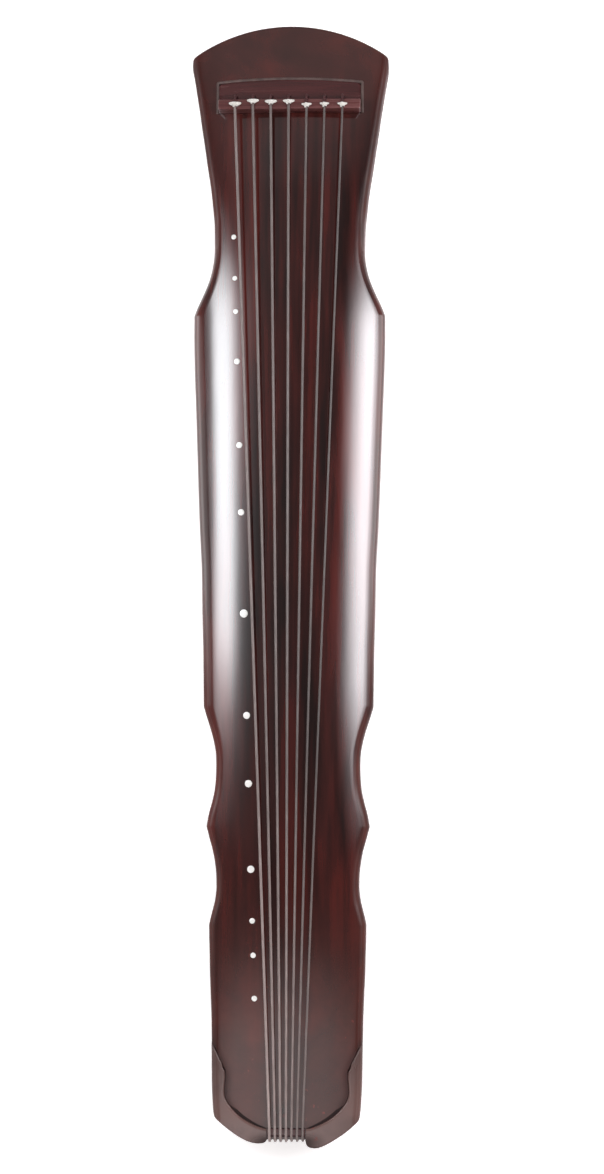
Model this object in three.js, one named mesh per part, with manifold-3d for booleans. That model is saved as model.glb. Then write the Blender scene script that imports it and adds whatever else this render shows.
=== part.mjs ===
// Guqin: seven-string board zither, Fuxi style, built from separate pieces.
// Millimetres. +X towards the head, +Y towards the marker side (away from the
// player), +Z up. Origin: middle of the bottom, on the plane that the goose
// feet and the peg guards stand on.

import * as THREE from 'three';
import { mergeVertices } from 'three/addons/utils/BufferGeometryUtils.js';
import Module from 'manifold-3d';

const wasm = await Module();
wasm.setup();

// ---------------------------------------------------------------- dimensions
const HEAD_X = 613.4;             // apex of the head's arc
const FOOT_H = 30;              // height of feet and guards, underside of the back board
const BACK_T = 11;              // back board thickness
const GAP = 0.3;                // clearance between neighbouring pieces
const BACK_TOP = FOOT_H + BACK_T;
const RIM_Z = BACK_TOP + GAP;   // underside of the soundboard's rim
const WALL = 17;                // side wall of the hollow
const CEIL_T = 9.5;             // thickness of the soundboard over the hollow
const HOLLOW = [-498, 400];     // hollow, from / to
const BRIDGE_X = 514;           // string break at the bridge
const NUT_X = -591;             // string break at the nut
const SCALE = BRIDGE_X - NUT_X; // 1105 speaking length
const Z_BRIDGE = FOOT_H + 62.5; // string line at the bridge
const Z_NUT = FOOT_H + 41.5;    // string line at the nut
const HUI_T = [1/8, 1/6, 1/5, 1/4, 1/3, 2/5, 1/2, 3/5, 2/3, 3/4, 4/5, 5/6, 7/8];
const HUI_D = [5.4, 5.2, 5.3, 6.4, 6.6, 6.9, 8.8, 7.5, 7.9, 7.8, 6.0, 5.8, 5.9];
const HUI_LINE = [65.44, -35.1];          // y = a + b t
const STRING_R = [0.85, 0.80, 0.75, 0.70, 0.65, 0.60, 0.55];
const Y_BRIDGE = [59.2, 39.6, 20.0, 0.4, -19.2, -38.8, -58.4];
const Y_NUT = [17.7, 11.8, 5.9, 0, -5.9, -11.8, -17.7];
const PEG_X = 532;              // row of cord holes and pegs
const CORD_HOLE_R = 2.1;
const KNOT_X = [519.7, 523.1, 522.1, 522.4, 518.3, 518.9, 518.7];   // string knots on the bridge
const PEG_TOP = BACK_TOP;       // bearing face of the pegs
const PEG_BOTTOM = 3;
const FEET = [-262, 58];        // goose feet at x, +-y
const NECK_R = 9;               // foot radius where the strings are wound
const DRAGON_POOL = [-40, 238, 13.5];   // sound hole: x from, x to, half width
const PHOENIX_POOL = [-442, -327, 12.5];
const HEAVEN_POST = [265, 0, 9];        // x, y, radius
const EARTH_POST = [-97, 0, 8];         // x, y, half side

// plan outline: x, half width
const OUTLINE = [
  [-581, 78.3], [-565.2, 79.6], [-540, 80.6], [-501, 81.2], [-475.6, 81.7], [-449.9, 82.7],
  [-424, 83.8], [-398.4, 84.4], [-385.5, 84.8], [-374.5, 84.9], [-367, 83.2], [-359.7, 81.4],
  [-346.7, 78.3], [-333.8, 77.1], [-320.9, 77.4], [-307.9, 78.8], [-295, 81.3], [-282, 84.9],
  [-269, 88.4], [-256, 86.1], [-243, 82.6], [-230, 79.7], [-217, 78.4], [-203.9, 78],
  [-190.9, 78.4], [-177.8, 80.6], [-164.8, 84], [-151.7, 88.3], [-139, 92.2], [-121.2, 92.5],
  [-77.5, 93.2], [-33.6, 94.5], [10.3, 95.4], [54.4, 97.7], [98.5, 99.5], [142.8, 101.1],
  [187.2, 102.7], [231.7, 104.4], [270, 105.2], [290.5, 105.2], [298.7, 102], [309, 97.2],
  [321, 91.7], [332, 87.6], [343.4, 84.8], [354, 83.2], [365.8, 82.6], [388.3, 82.9],
  [410.8, 84.8], [433.3, 87.4], [455.9, 91], [478.5, 94.3], [501.1, 97.8], [523.8, 101.1],
  [546.5, 104.8], [569.2, 108], [580, 108.6],
];

function interp(table, x) {
  if (x <= table[0][0]) return table[0][1];
  for (let i = 1; i < table.length; i++) {
    if (x <= table[i][0]) {
      const [x0, y0] = table[i - 1], [x1, y1] = table[i];
      return y0 + (y1 - y0) * (x - x0) / (x1 - x0);
    }
  }
  return table[table.length - 1][1];
}
const W = (x) => interp(OUTLINE, x);
const CREST = [[-612, 37.5], [-591, 38], [290, 50], [360, 49.6], [440, 47.6], [514, 45], [560, 43], [614, 40]];
const EDGE = [[-610, 27], [-400, 25], [290, 25], [440, 30], [610, 30]];
// fall of the planed arch from the crest, as a share of y squared
const ARCH = [[-612, 0.001], [-500, 0.00102], [-334, 0.00125], [-139, 0.00142], [60, 0.00138], [290, 0.00127],
  [388, 0.00112], [440, 0.00098], [514, 0.00081], [582, 0.0005], [612, 0.00045]];

// top surface of the soundboard: a flat arch that rolls off at both sides
function surf(x, y) {
  const w = W(x), a = Math.min(Math.abs(y), w);
  const zc = FOOT_H + interp(CREST, x), ze = FOOT_H + interp(EDGE, x);
  const roll = 9, drop = Math.min(7, (zc - ze) * 0.5);
  let z = zc - interp(ARCH, x) * a * a;
  if (a > w - roll) {
    const s = (a - (w - roll)) / roll;
    z -= drop * (1 - Math.sqrt(Math.max(0, 1 - s * s)));
  }
  return z;
}

// ------------------------------------------------------------------- helpers
function toSolid(geometry) {
  let g = geometry.clone();
  g.deleteAttribute('normal');
  g.deleteAttribute('uv');
  g = mergeVertices(g, 1e-4);
  const p = g.attributes.position.array, ix = g.index.array, tris = [];
  for (let i = 0; i < ix.length; i += 3) {
    if (ix[i] !== ix[i + 1] && ix[i + 1] !== ix[i + 2] && ix[i] !== ix[i + 2]) tris.push(ix[i], ix[i + 1], ix[i + 2]);
  }
  return new wasm.Manifold(new wasm.Mesh({
    numProp: 3, vertProperties: new Float32Array(p), triVerts: new Uint32Array(tris),
  }));
}
function toGeometry(solid) {
  const m = solid.getMesh();
  const g = new THREE.BufferGeometry();
  g.setAttribute('position', new THREE.BufferAttribute(new Float32Array(m.vertProperties), 3));
  g.setIndex(new THREE.BufferAttribute(new Uint32Array(m.triVerts), 1));
  g.computeVertexNormals();
  return g;
}

// a slab between two surfaces over a grid: xs are stations along X, us are
// fractions of the half width given by half(x)
function slab(xs, us, half, zTop, zBottom) {
  const nx = xs.length - 1, nu = us.length - 1;
  const g = new THREE.BoxGeometry(1, 1, 1, nx, nu, 1);
  const p = g.attributes.position;
  for (let i = 0; i < p.count; i++) {
    const x = xs[Math.round((p.getX(i) + 0.5) * nx)];
    const y = us[Math.round((p.getY(i) + 0.5) * nu)] * half(x);
    p.setXYZ(i, x, y, p.getZ(i) > 0 ? zTop(x, y) : zBottom(x, y));
  }
  return g;
}
// a plan polygon [[x, y], ...] extruded from z0 to z1
function prism(points, z0, z1, holes = []) {
  const shape = new THREE.Shape(points.map(([x, y]) => new THREE.Vector2(x, y)));
  for (const h of holes) shape.holes.push(new THREE.Path(h.map(([x, y]) => new THREE.Vector2(x, y))));
  const g = new THREE.ExtrudeGeometry(shape, { depth: z1 - z0, bevelEnabled: false, curveSegments: 8 });
  g.translate(0, 0, z0);
  return g;
}
// a profile [[x, z], ...] extruded along Y from y0 to y1
function profileY(points, y0, y1) {
  const shape = new THREE.Shape(points.map(([x, z]) => new THREE.Vector2(x, z)));
  const g = new THREE.ExtrudeGeometry(shape, { depth: y1 - y0, bevelEnabled: false });
  g.rotateX(Math.PI / 2);
  g.translate(0, y1, 0);
  return g;
}
// a profile [[y, z], ...] extruded along X from x0 to x1
function profileX(points, x0, x1) {
  const shape = new THREE.Shape(points.map(([y, z]) => new THREE.Vector2(y, z)));
  const g = new THREE.ExtrudeGeometry(shape, { depth: x1 - x0, bevelEnabled: false });
  g.rotateX(Math.PI / 2);
  g.rotateZ(Math.PI / 2);
  g.translate(x0, 0, 0);
  return g;
}
function box(x0, x1, y0, y1, z0, z1) {
  const g = new THREE.BoxGeometry(x1 - x0, y1 - y0, z1 - z0);
  g.translate((x0 + x1) / 2, (y0 + y1) / 2, (z0 + z1) / 2);
  return g;
}
// a vertical cylinder
function rod(x, y, r, z0, z1, sides = 12) {
  const g = new THREE.CylinderGeometry(r, r, z1 - z0, sides);
  g.rotateX(Math.PI / 2);
  g.translate(x, y, (z0 + z1) / 2);
  return g;
}
// a turned piece about the vertical line through x, y: profile [[r, z], ...]
// from the axis up the outside and back to the axis
function turned(profile, x, y, sides) {
  const g = new THREE.LatheGeometry(profile.map(([r, z]) => new THREE.Vector2(r, z)), sides);
  g.rotateX(Math.PI / 2);
  g.translate(x, y, 0);
  return g;
}
// a rectangle with round ends along X
function stadium(x0, x1, half, n = 8) {
  const pts = [];
  for (let i = 0; i <= n; i++) {
    const a = -Math.PI / 2 + Math.PI * i / n;
    pts.push([x1 - half + half * Math.cos(a), half * Math.sin(a)]);
  }
  for (let i = 0; i <= n; i++) {
    const a = Math.PI / 2 + Math.PI * i / n;
    pts.push([x0 + half + half * Math.cos(a), half * Math.sin(a)]);
  }
  return pts;
}
// the same polygon with every side moved outwards by d
function offset(points, d) {
  const turn = THREE.ShapeUtils.area(points.map(([x, y]) => new THREE.Vector2(x, y))) > 0 ? 1 : -1;
  const n = points.length;
  const normal = (a, b) => {
    const dx = b[0] - a[0], dy = b[1] - a[1], l = Math.hypot(dx, dy) * turn;
    return [dy / l, -dx / l];
  };
  return points.map((p, i) => {
    const n1 = normal(points[(i + n - 1) % n], p), n2 = normal(p, points[(i + 1) % n]);
    const k = d / (1 + n1[0] * n2[0] + n1[1] * n2[1]);
    return [p[0] + (n1[0] + n2[0]) * k, p[1] + (n1[1] + n2[1]) * k];
  });
}
const cut = (a, ...bs) => bs.reduce((s, b) => s.subtract(b instanceof THREE.BufferGeometry ? toSolid(b) : b),
  a instanceof THREE.BufferGeometry ? toSolid(a) : a);
const join = (a, ...bs) => bs.reduce((s, b) => s.add(b instanceof THREE.BufferGeometry ? toSolid(b) : b),
  a instanceof THREE.BufferGeometry ? toSolid(a) : a);

// a curve through given points, one extrusion step for each
class Route extends THREE.Curve {
  constructor(points) { super(); this.points = points; }
  getPoint(t, target = new THREE.Vector3()) {
    const n = this.points.length - 1, f = Math.min(Math.max(t, 0), 1) * n;
    const i = Math.min(Math.floor(f), n - 1);
    return target.copy(this.points[i]).lerp(this.points[i + 1], f - i);
  }
  getPointAt(u, target) { return this.getPoint(u, target); }
  getSpacedPoints(divisions) {
    const out = [];
    for (let i = 0; i <= divisions; i++) out.push(this.getPoint(i / divisions));
    return out;
  }
  getTangent(t, target = new THREE.Vector3()) {
    const n = this.points.length - 1, i = Math.round(t * n);
    const a = this.points[Math.max(i - 1, 0)], m = this.points[i], b = this.points[Math.min(i + 1, n)];
    const u = new THREE.Vector3(), v = new THREE.Vector3();
    if (i > 0) u.copy(m).sub(a).normalize();
    if (i < n) v.copy(b).sub(m).normalize();
    return target.copy(u).add(v).normalize();
  }
  getTangentAt(u, target) { return this.getTangent(u, target); }
}
function tube(points, r, sides = 8) {
  const shape = new THREE.Shape();
  for (let i = 0; i < sides; i++) {
    const a = 2 * Math.PI * (i + 0.5) / sides;
    if (i === 0) shape.moveTo(r * Math.cos(a), r * Math.sin(a)); else shape.lineTo(r * Math.cos(a), r * Math.sin(a));
  }
  const route = new Route(points.map((p) => new THREE.Vector3(...p)));
  return new THREE.ExtrudeGeometry(shape, { steps: points.length - 1, extrudePath: route, bevelEnabled: false });
}

// ----------------------------------------------------------------- materials
const mat = (color, roughness, metalness = 0) => new THREE.MeshStandardMaterial({ color, roughness, metalness });
const LACQUER = 0x3f2826, LACQUER_DARK = 0x35211f, HARDWOOD = 0x55262a, RAW_WOOD = 0xb08a5c,
  EDGING = 0x7d6c66, SHELL = 0xf2eee6, STRING = 0x9c948f, SILK = 0x4c1b20, PEG = 0x4a2420, LIP = 0x5b4741;

const guqin = new THREE.Group();
guqin.name = 'guqin';
function piece(name, shape, material) {
  const geometry = shape instanceof THREE.BufferGeometry ? shape : toGeometry(shape);
  const mesh = new THREE.Mesh(geometry, material);
  mesh.name = name;
  guqin.add(mesh);
  return mesh;
}

// -------------------------------------------------------------- plan outline
const HEAD_CORNER = [579, 108.6];
const HEAD_R = (HEAD_CORNER[1] ** 2 + (HEAD_X - HEAD_CORNER[0]) ** 2) / (2 * (HEAD_X - HEAD_CORNER[0]));
function headArc(n) {           // from the -Y corner to the +Y corner
  const pts = [], a0 = Math.asin((HEAD_CORNER[1] - 2.5) / HEAD_R);
  for (let i = 0; i <= n; i++) {
    const a = -a0 + 2 * a0 * i / n;
    pts.push([HEAD_X - HEAD_R + HEAD_R * Math.cos(a), HEAD_R * Math.sin(a)]);
  }
  return pts;
}
// tail, from the side corner over the diagonal and the lobe to the notch for
// the strings; the lobe on the player's side reaches further
const TAIL_LEFT = [[-576.5, 78.6], [-579.8, 76.6], [-586.9, 68.8], [-593.4, 60.2], [-599.2, 51.6], [-603.4, 43], [-605.4, 36],
  [-606.2, 30], [-605.9, 25.4], [-604.9, 22.6], [-602.5, 20.6]];
const TAIL_RIGHT = [[-579, 78.5], [-583.2, 76.2], [-590.6, 68.3], [-597, 59.8], [-602.4, 51.3], [-607.3, 42.7], [-610, 36],
  [-610.9, 30], [-610.1, 25.4], [-608, 22.2], [-602.5, 20.6]];
function planOutline(sides) {   // closed, counter-clockwise; sides = false leaves room beside the waist
  const right = sides ? [...OUTLINE.slice(1, -1).map(([x, w]) => [x, -w]), [577.6, -108.4]] : [[-573, -125], [573, -125], [578.6, -108.8]];
  const left = right.map(([x, y]) => [x, -y]).reverse();
  const tailLeft = sides ? TAIL_LEFT : [[-576.5, 78.8], ...TAIL_LEFT.slice(1)];
  const tailRight = sides ? TAIL_RIGHT : [[-579, 78.7], ...TAIL_RIGHT.slice(1)];
  return [...tailRight.map(([x, y]) => [x, -y]).reverse(), ...right, ...headArc(16), ...left, ...tailLeft];
}
const bodyPrism = toSolid(prism(planOutline(true), 0, 140));

// ---------------------------------------------------------------- soundboard
const US = [-1, -0.98, -0.935, -0.82, -0.5, 0, 0.5, 0.82, 0.935, 0.98, 1];
const XS = [-612, -591, ...OUTLINE.slice(1, -1).map(([x]) => x), 580, 596, HEAD_X + 2];
const flat = (z) => () => z;
let soundboard = toSolid(slab(XS, US, W, surf, flat(10))).intersect(toSolid(prism(planOutline(false), RIM_Z, 140)));

// hollow between the solid ends, with thicker pads over the sound holes
const hollowXs = [HOLLOW[0], -385.5, -346.7, -320.9, -295, -269, -243, -217, -190.9, -164.8, -139, 10.3, 187.2, 290.5, 321, 354, HOLLOW[1]];
const hollow = toSolid(slab(hollowXs, [-1, -0.6, 0, 0.6, 1], (x) => W(x) - WALL,
  (x, y) => surf(x, y * 0.98) - CEIL_T, flat(RIM_Z - 5)));
const padTop = (x0, x1, half, t) => toSolid(slab([x0, x0 + 12, x1 - 12, x1], [-1, -0.6, 0.6, 1], () => half,
  (x, y) => surf(x, y) + 2, (x, y) => surf(x, 0) - CEIL_T - (x === x0 || x === x1 ? 1 : t) * (Math.abs(y) > half * 0.9 ? 0.2 : 1)));
const nayinDragon = padTop(DRAGON_POOL[0] - 12, DRAGON_POOL[1] + 12, 24, 3.2);
const nayinPhoenix = padTop(PHOENIX_POOL[0] - 12, PHOENIX_POOL[1] + 12, 22, 3);
const footPads = [1, -1].map((s) => toSolid(box(FEET[0] - 20, FEET[0] + 20, s > 0 ? 38 : -96, s > 0 ? 96 : -38, RIM_Z - 1, 140)));
soundboard = soundboard.subtract(hollow.subtract(nayinDragon).subtract(nayinPhoenix).subtract(footPads[0]).subtract(footPads[1]));

// square wells for the feet's tenons
const TENON = 7, TENON_TOP = 58;
for (const s of [1, -1]) {
  soundboard = soundboard.subtract(toSolid(box(FEET[0] - TENON - GAP, FEET[0] + TENON + GAP,
    s * FEET[1] - TENON - GAP, s * FEET[1] + TENON + GAP, 20, TENON_TOP + GAP)));
}

// seat of bridge and dew collector: one flat pocket, with the edging's seat
const SEAT_Y = 78.1, SEAT_Z = surf(540, SEAT_Y) - 4.2, SEAT_X = [514.7, 548.3];
const archX = (y, base, rise) => base + rise * (1 - (y / SEAT_Y) ** 2);   // gently arched head-side border
function plateOutline(x0, grow) {
  const pts = [[x0, -SEAT_Y - grow]];
  const n = 8, y1 = SEAT_Y + grow;
  const c = 2.2;
  pts.push([SEAT_X[1] - c, -y1], [SEAT_X[1] - 0.3 + grow * 0.8, -y1 + c * 0.9]);
  for (let i = 1; i < n; i++) {
    const y = -y1 + 2 * y1 * i / n;
    pts.push([archX(y, SEAT_X[1] + grow, 3), y]);
  }
  pts.push([SEAT_X[1] - 0.3 + grow * 0.8, y1 - c * 0.9], [SEAT_X[1] - c, y1], [x0, y1]);
  return pts;
}
const EDGE_W = 3;
soundboard = soundboard.subtract(toSolid(prism(plateOutline(SEAT_X[0] - GAP, GAP), SEAT_Z, 140)));
soundboard = soundboard.subtract(toSolid(prism(plateOutline(SEAT_X[0] + 10, EDGE_W + GAP), SEAT_Z + 1.2, 140)));

// cord holes through the head
const cordHoles = Y_BRIDGE.map((y) => toSolid(rod(PEG_X, y, CORD_HOLE_R, 20, 120, 8)));
for (const h of cordHoles) soundboard = soundboard.subtract(h);

// seat of the peg pool board
const POOL = [518, 548, 76];
soundboard = soundboard.subtract(toSolid(box(POOL[0], POOL[1], -POOL[2], POOL[2], RIM_Z - 2, RIM_Z + 5.7)));

// tail: nut slot, lower gum slot, rebates of the crown corners
const NUT_Y = 20.2;
soundboard = soundboard.subtract(toSolid(box(NUT_X - 20, NUT_X + 1.2, -NUT_Y - GAP, NUT_Y + GAP, 54, 140)));
soundboard = soundboard.subtract(toSolid(box(NUT_X - 20, NUT_X + 4.5, -NUT_Y - GAP, NUT_Y + GAP, 20, 54.1)));

const CROWN_IN = [[-503, 80.0], [-510, 75.6], [-517, 72.3], [-527.5, 67.6], [-534, 66.2], [-543, 66.6], [-552, 67.1], [-561.3, 65],
  [-569.2, 59.5], [-577.7, 51], [-584, 40.2], [-589.2, 29.5], [-590.6, 22.0]];
const CROWN_RISE = 1.3, CROWN_DEPTH = 2.0;
const CROWN = [...CROWN_IN, [-590.6, NUT_Y + 0.8], [-625, NUT_Y + 0.8], [-625, 110], [-500, 110], [-500, 80.6]];
function crownOutline(s, grow) {
  const pts = offset(CROWN, grow);
  return s > 0 ? pts : pts.map(([x, y]) => [x, -y]).reverse();
}
const CROWN_XS = [-614, -591, -566, -540, -498];
const skin = (up, down, grow) => toSolid(slab(CROWN_XS, US, (x) => W(x) + grow, (x, y) => surf(x, y) + up, (x, y) => surf(x, y) - down));
for (const s of [1, -1]) {
  const rebate = toSolid(slab(CROWN_XS, US, (x) => W(x) + 3, (x, y) => surf(x, y) + 20, (x, y) => surf(x, y) - CROWN_DEPTH))
    .intersect(toSolid(prism(crownOutline(s, GAP), 20, 140)));
  soundboard = soundboard.subtract(rebate);
  const crown = skin(CROWN_RISE, CROWN_DEPTH - GAP, 3).intersect(toSolid(prism(crownOutline(s, 0), 20, 140))).intersect(bodyPrism);
  piece(s > 0 ? 'crown_corner_left' : 'crown_corner_right', crown, mat(LIP, 0.3));
}

// marker seats, square to the surface
const huiFrames = HUI_T.map((t) => {
  const x = BRIDGE_X - SCALE * t, y = HUI_LINE[0] + HUI_LINE[1] * t, z = surf(x, y), e = 3;
  const n = new THREE.Vector3(-(surf(x + e, y) - surf(x - e, y)) / (2 * e), -(surf(x, y + e) - surf(x, y - e)) / (2 * e), 1).normalize();
  return { p: new THREE.Vector3(x, y, z), n };
});
const upZ = new THREE.Vector3(0, 1, 0);
huiFrames.forEach((f, i) => {
  const seat = new THREE.CylinderGeometry(HUI_D[i] / 2 + GAP, HUI_D[i] / 2 + GAP, 6, 10);
  seat.applyQuaternion(new THREE.Quaternion().setFromUnitVectors(upZ, f.n));
  seat.translate(...f.p.clone().addScaledVector(f.n, 3 - 1.5).toArray());
  soundboard = soundboard.subtract(toSolid(seat));
});

// tongue in the head's end face
function tongueOutline(grow) {
  const pts = [], h = 17 + grow;
  for (let i = 0; i <= 8; i++) { const a = Math.PI * i / 8; pts.push([h * Math.cos(a), 50 + (13 + grow) * Math.sin(a)]); }
  pts.push([-h, 36 - grow], [h, 36 - grow]);
  return pts;
}
const tongueSeat = toSolid(profileX(tongueOutline(GAP), 608.5, 624));
soundboard = soundboard.subtract(tongueSeat);
piece('soundboard', soundboard, mat(LACQUER, 0.22));

// --------------------------------------------------------------- back board
let back = toSolid(prism(planOutline(true), FOOT_H, BACK_TOP));
const poolPrism = (pool, grow, z0, z1) => toSolid(prism(stadium(pool[0] - grow, pool[1] + grow, pool[2] + grow), z0, z1));
for (const pool of [DRAGON_POOL, PHOENIX_POOL]) {
  back = back.subtract(poolPrism(pool, 0, 10, 60)).subtract(poolPrism(pool, 4 + GAP, 10, FOOT_H + 3.3));
}
back = back.subtract(toSolid(box(POOL[0] - 1, POOL[1] + 1, -POOL[2], POOL[2], 10, 60)));
for (const s of [1, -1]) {
  back = back.subtract(toSolid(box(FEET[0] - 17 - GAP, FEET[0] + 17 + GAP, s * FEET[1] - 15 - GAP, s * FEET[1] + 15 + GAP, 10, FOOT_H + 6.3)));
  back = back.subtract(toSolid(box(FEET[0] - TENON - GAP, FEET[0] + TENON + GAP, s * FEET[1] - TENON - GAP, s * FEET[1] + TENON + GAP, 20, 60)));
}
back = back.subtract(toSolid(box(NUT_X - 20, NUT_X + 4.5, -NUT_Y - GAP, NUT_Y + GAP, 20, 60)));
const REST_LEFT = [[-562, 75.5], [-576, 75], [-588, 60], [-595.5, 48.5], [-600, 39.5], [-602, 33], [-602.4, 27.5], [-600.5, 23.8], [-583.6, 23.8]];
const REST_RIGHT = [[-562, 75.5], [-577.5, 75], [-591, 58.5], [-600, 44.5], [-604.8, 36.5], [-607, 30.5], [-606.4, 26], [-602.5, 23.8], [-583.6, 23.8]];
const REST = [...REST_LEFT, ...REST_RIGHT.map(([x, y]) => [x, -y]).reverse()];
const restRebate = toSolid(prism(offset(REST, GAP), 20, FOOT_H + 2.9));
back = back.subtract(restRebate).subtract(tongueSeat);
piece('back_board', back, mat(LACQUER_DARK, 0.3));
piece('tail_rest', toSolid(prism(REST, FOOT_H - 0.1, FOOT_H + 2.6)), mat(HARDWOOD, 0.3));
piece('phoenix_tongue', toSolid(profileX(tongueOutline(0), 608.8, 624)).intersect(bodyPrism), mat(HARDWOOD, 0.3));

for (const [name, pool] of [['dragon_pool_ring', DRAGON_POOL], ['phoenix_pool_ring', PHOENIX_POOL]]) {
  piece(name, prism(stadium(pool[0] - 4, pool[1] + 4, pool[2] + 4), FOOT_H - 0.5, FOOT_H + 3,
    [stadium(pool[0] + 0.8, pool[1] - 0.8, pool[2] - 0.8)]), mat(HARDWOOD, 0.3));
}

// --------------------------------------------------------------- sound posts
piece('heaven_post', rod(HEAVEN_POST[0], HEAVEN_POST[1], HEAVEN_POST[2], BACK_TOP + GAP,
  surf(HEAVEN_POST[0] + 9, 3) - CEIL_T - 3.2 - 0.6, 16), mat(RAW_WOOD, 0.7));
piece('earth_post', box(EARTH_POST[0] - EARTH_POST[2], EARTH_POST[0] + EARTH_POST[2], -EARTH_POST[2], EARTH_POST[2], BACK_TOP + GAP,
  surf(EARTH_POST[0] - 8, 8) - CEIL_T - 0.8), mat(RAW_WOOD, 0.7));

// ----------------------------------------------------------------- the feet
for (const s of [1, -1]) {
  const y = s * FEET[1], side = s > 0 ? 'left' : 'right';
  const turnedFoot = turned([[0, 0], [11.5, 0], [12.6, 1.6], [12.6, 6.8], [11.8, 8.6], [NECK_R + 0.6, 10.0], [NECK_R, 11.3], [NECK_R, 27.2],
    [11.8, 28.6], [11.8, FOOT_H - GAP], [0, FOOT_H - GAP]], FEET[0], y, 16);
  const tenon = box(FEET[0] - TENON, FEET[0] + TENON, y - TENON, y + TENON, FOOT_H - 2, TENON_TOP);
  piece('goose_foot_' + side, join(turnedFoot, tenon), mat(HARDWOOD, 0.3));
  piece('foot_socket_' + side, cut(box(FEET[0] - 17, FEET[0] + 17, y - 15, y + 15, FOOT_H, FOOT_H + 6),
    box(FEET[0] - TENON - GAP, FEET[0] + TENON + GAP, y - TENON - GAP, y + TENON + GAP, 0, 60)), mat(HARDWOOD, 0.3));
}

// -------------------------------------------------------------- peg guards
// a leg beside each end of the peg pool, its profile seen from the side
const GUARD = [[499, FOOT_H - GAP], [503, 24], [510, 13], [513.5, 3.2], [516, 0], [545, 0], [549, 3.4], [554, 13.5], [562, 24.4], [567, FOOT_H - GAP]];
for (const s of [1, -1]) {
  const g = profileY([...GUARD].reverse(), s > 0 ? 79.5 : -91.5, s > 0 ? 91.5 : -79.5);
  piece('peg_guard_' + (s > 0 ? 'left' : 'right'), toSolid(g), mat(HARDWOOD, 0.3));
}

// ------------------------------------------------ bridge, dew collector, nut
const BR_TOP0 = Z_BRIDGE - STRING_R[0] - GAP;    // tail-side edge
const bridgeTop = (x) => interp([[516.2, BR_TOP0 - 0.2], [520, BR_TOP0 - 1.1], [525.6, 88.5]], x);
piece('bridge', profileY([[SEAT_X[0], SEAT_Z + GAP], [528.9, SEAT_Z + GAP], [528.9, 77], [527.1, 85.4], [525.6, 88.5],
  [520, BR_TOP0 - 1.1], [516.2, BR_TOP0 - 0.2], [SEAT_X[0], BR_TOP0 - 0.6]].reverse(), -SEAT_Y, SEAT_Y), mat(0x6d3a3f, 0.3));

const plateHalf = () => 1;
const plateTopZ = (x, y) => surf(x, y) + 0.9;
const plateGrid = (x0, x1, y1, top, bottom) => toSolid(slab([x0, x1], [-1, -0.8, -0.5, 0, 0.5, 0.8, 1].map((u) => u * y1),
  plateHalf, top, bottom));
let plate = plateGrid(529.2, 556, 100, plateTopZ, flat(SEAT_Z + GAP)).intersect(toSolid(prism(plateOutline(529.2, 0), 20, 140)));
for (const h of cordHoles) plate = plate.subtract(h);
piece('dew_collector', plate, mat(HARDWOOD, 0.3));
const bead = plateGrid(525.5, 560, 100, (x, y) => surf(x, y) + 1.0, flat(SEAT_Z + 1.2 + GAP))
  .intersect(toSolid(prism(plateOutline(SEAT_X[0] + 10 + GAP, EDGE_W), 20, 140)))
  .subtract(toSolid(prism(plateOutline(500, GAP), 10, 150)));
piece('dew_collector_edging', bead, mat(EDGING, 0.35));

piece('peg_pool_board', cut(box(POOL[0] + GAP, POOL[1] - GAP, -POOL[2] + GAP, POOL[2] - GAP, PEG_TOP + GAP, RIM_Z + 5.4),
  ...Y_BRIDGE.map((y) => rod(PEG_X, y, CORD_HOLE_R, 20, 80, 8))), mat(HARDWOOD, 0.35));

const NUT_TOP = Z_NUT - STRING_R[0] - GAP;
piece('dragon_gum', profileY([[-602.4, 54.4], [NUT_X + 0.9, 54.4], [NUT_X + 0.9, NUT_TOP - 0.9], [NUT_X, NUT_TOP], [-597.5, NUT_TOP - 0.3],
  [-600.8, NUT_TOP - 1.7], [-602.4, NUT_TOP - 4.4]], -NUT_Y, NUT_Y), mat(HARDWOOD, 0.3));
piece('lower_gum', profileY([[-602.4, 53.9], [-602.4, 33], [-600.8, 29.9], [-598, 29], [-588, 29], [NUT_X + 4.2, 31], [NUT_X + 4.2, 53.9]].reverse(),
  -NUT_Y, NUT_Y), mat(HARDWOOD, 0.3));

// ------------------------------------------------------------------ markers
huiFrames.forEach((f, i) => {
  const g = new THREE.CylinderGeometry(HUI_D[i] / 2, HUI_D[i] / 2, 1.2, 10);
  const m = piece('hui_' + (i + 1), g, mat(SHELL, 0.2));
  m.quaternion.setFromUnitVectors(upZ, f.n);
  m.position.copy(f.p).addScaledVector(f.n, -0.5);
});

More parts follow.
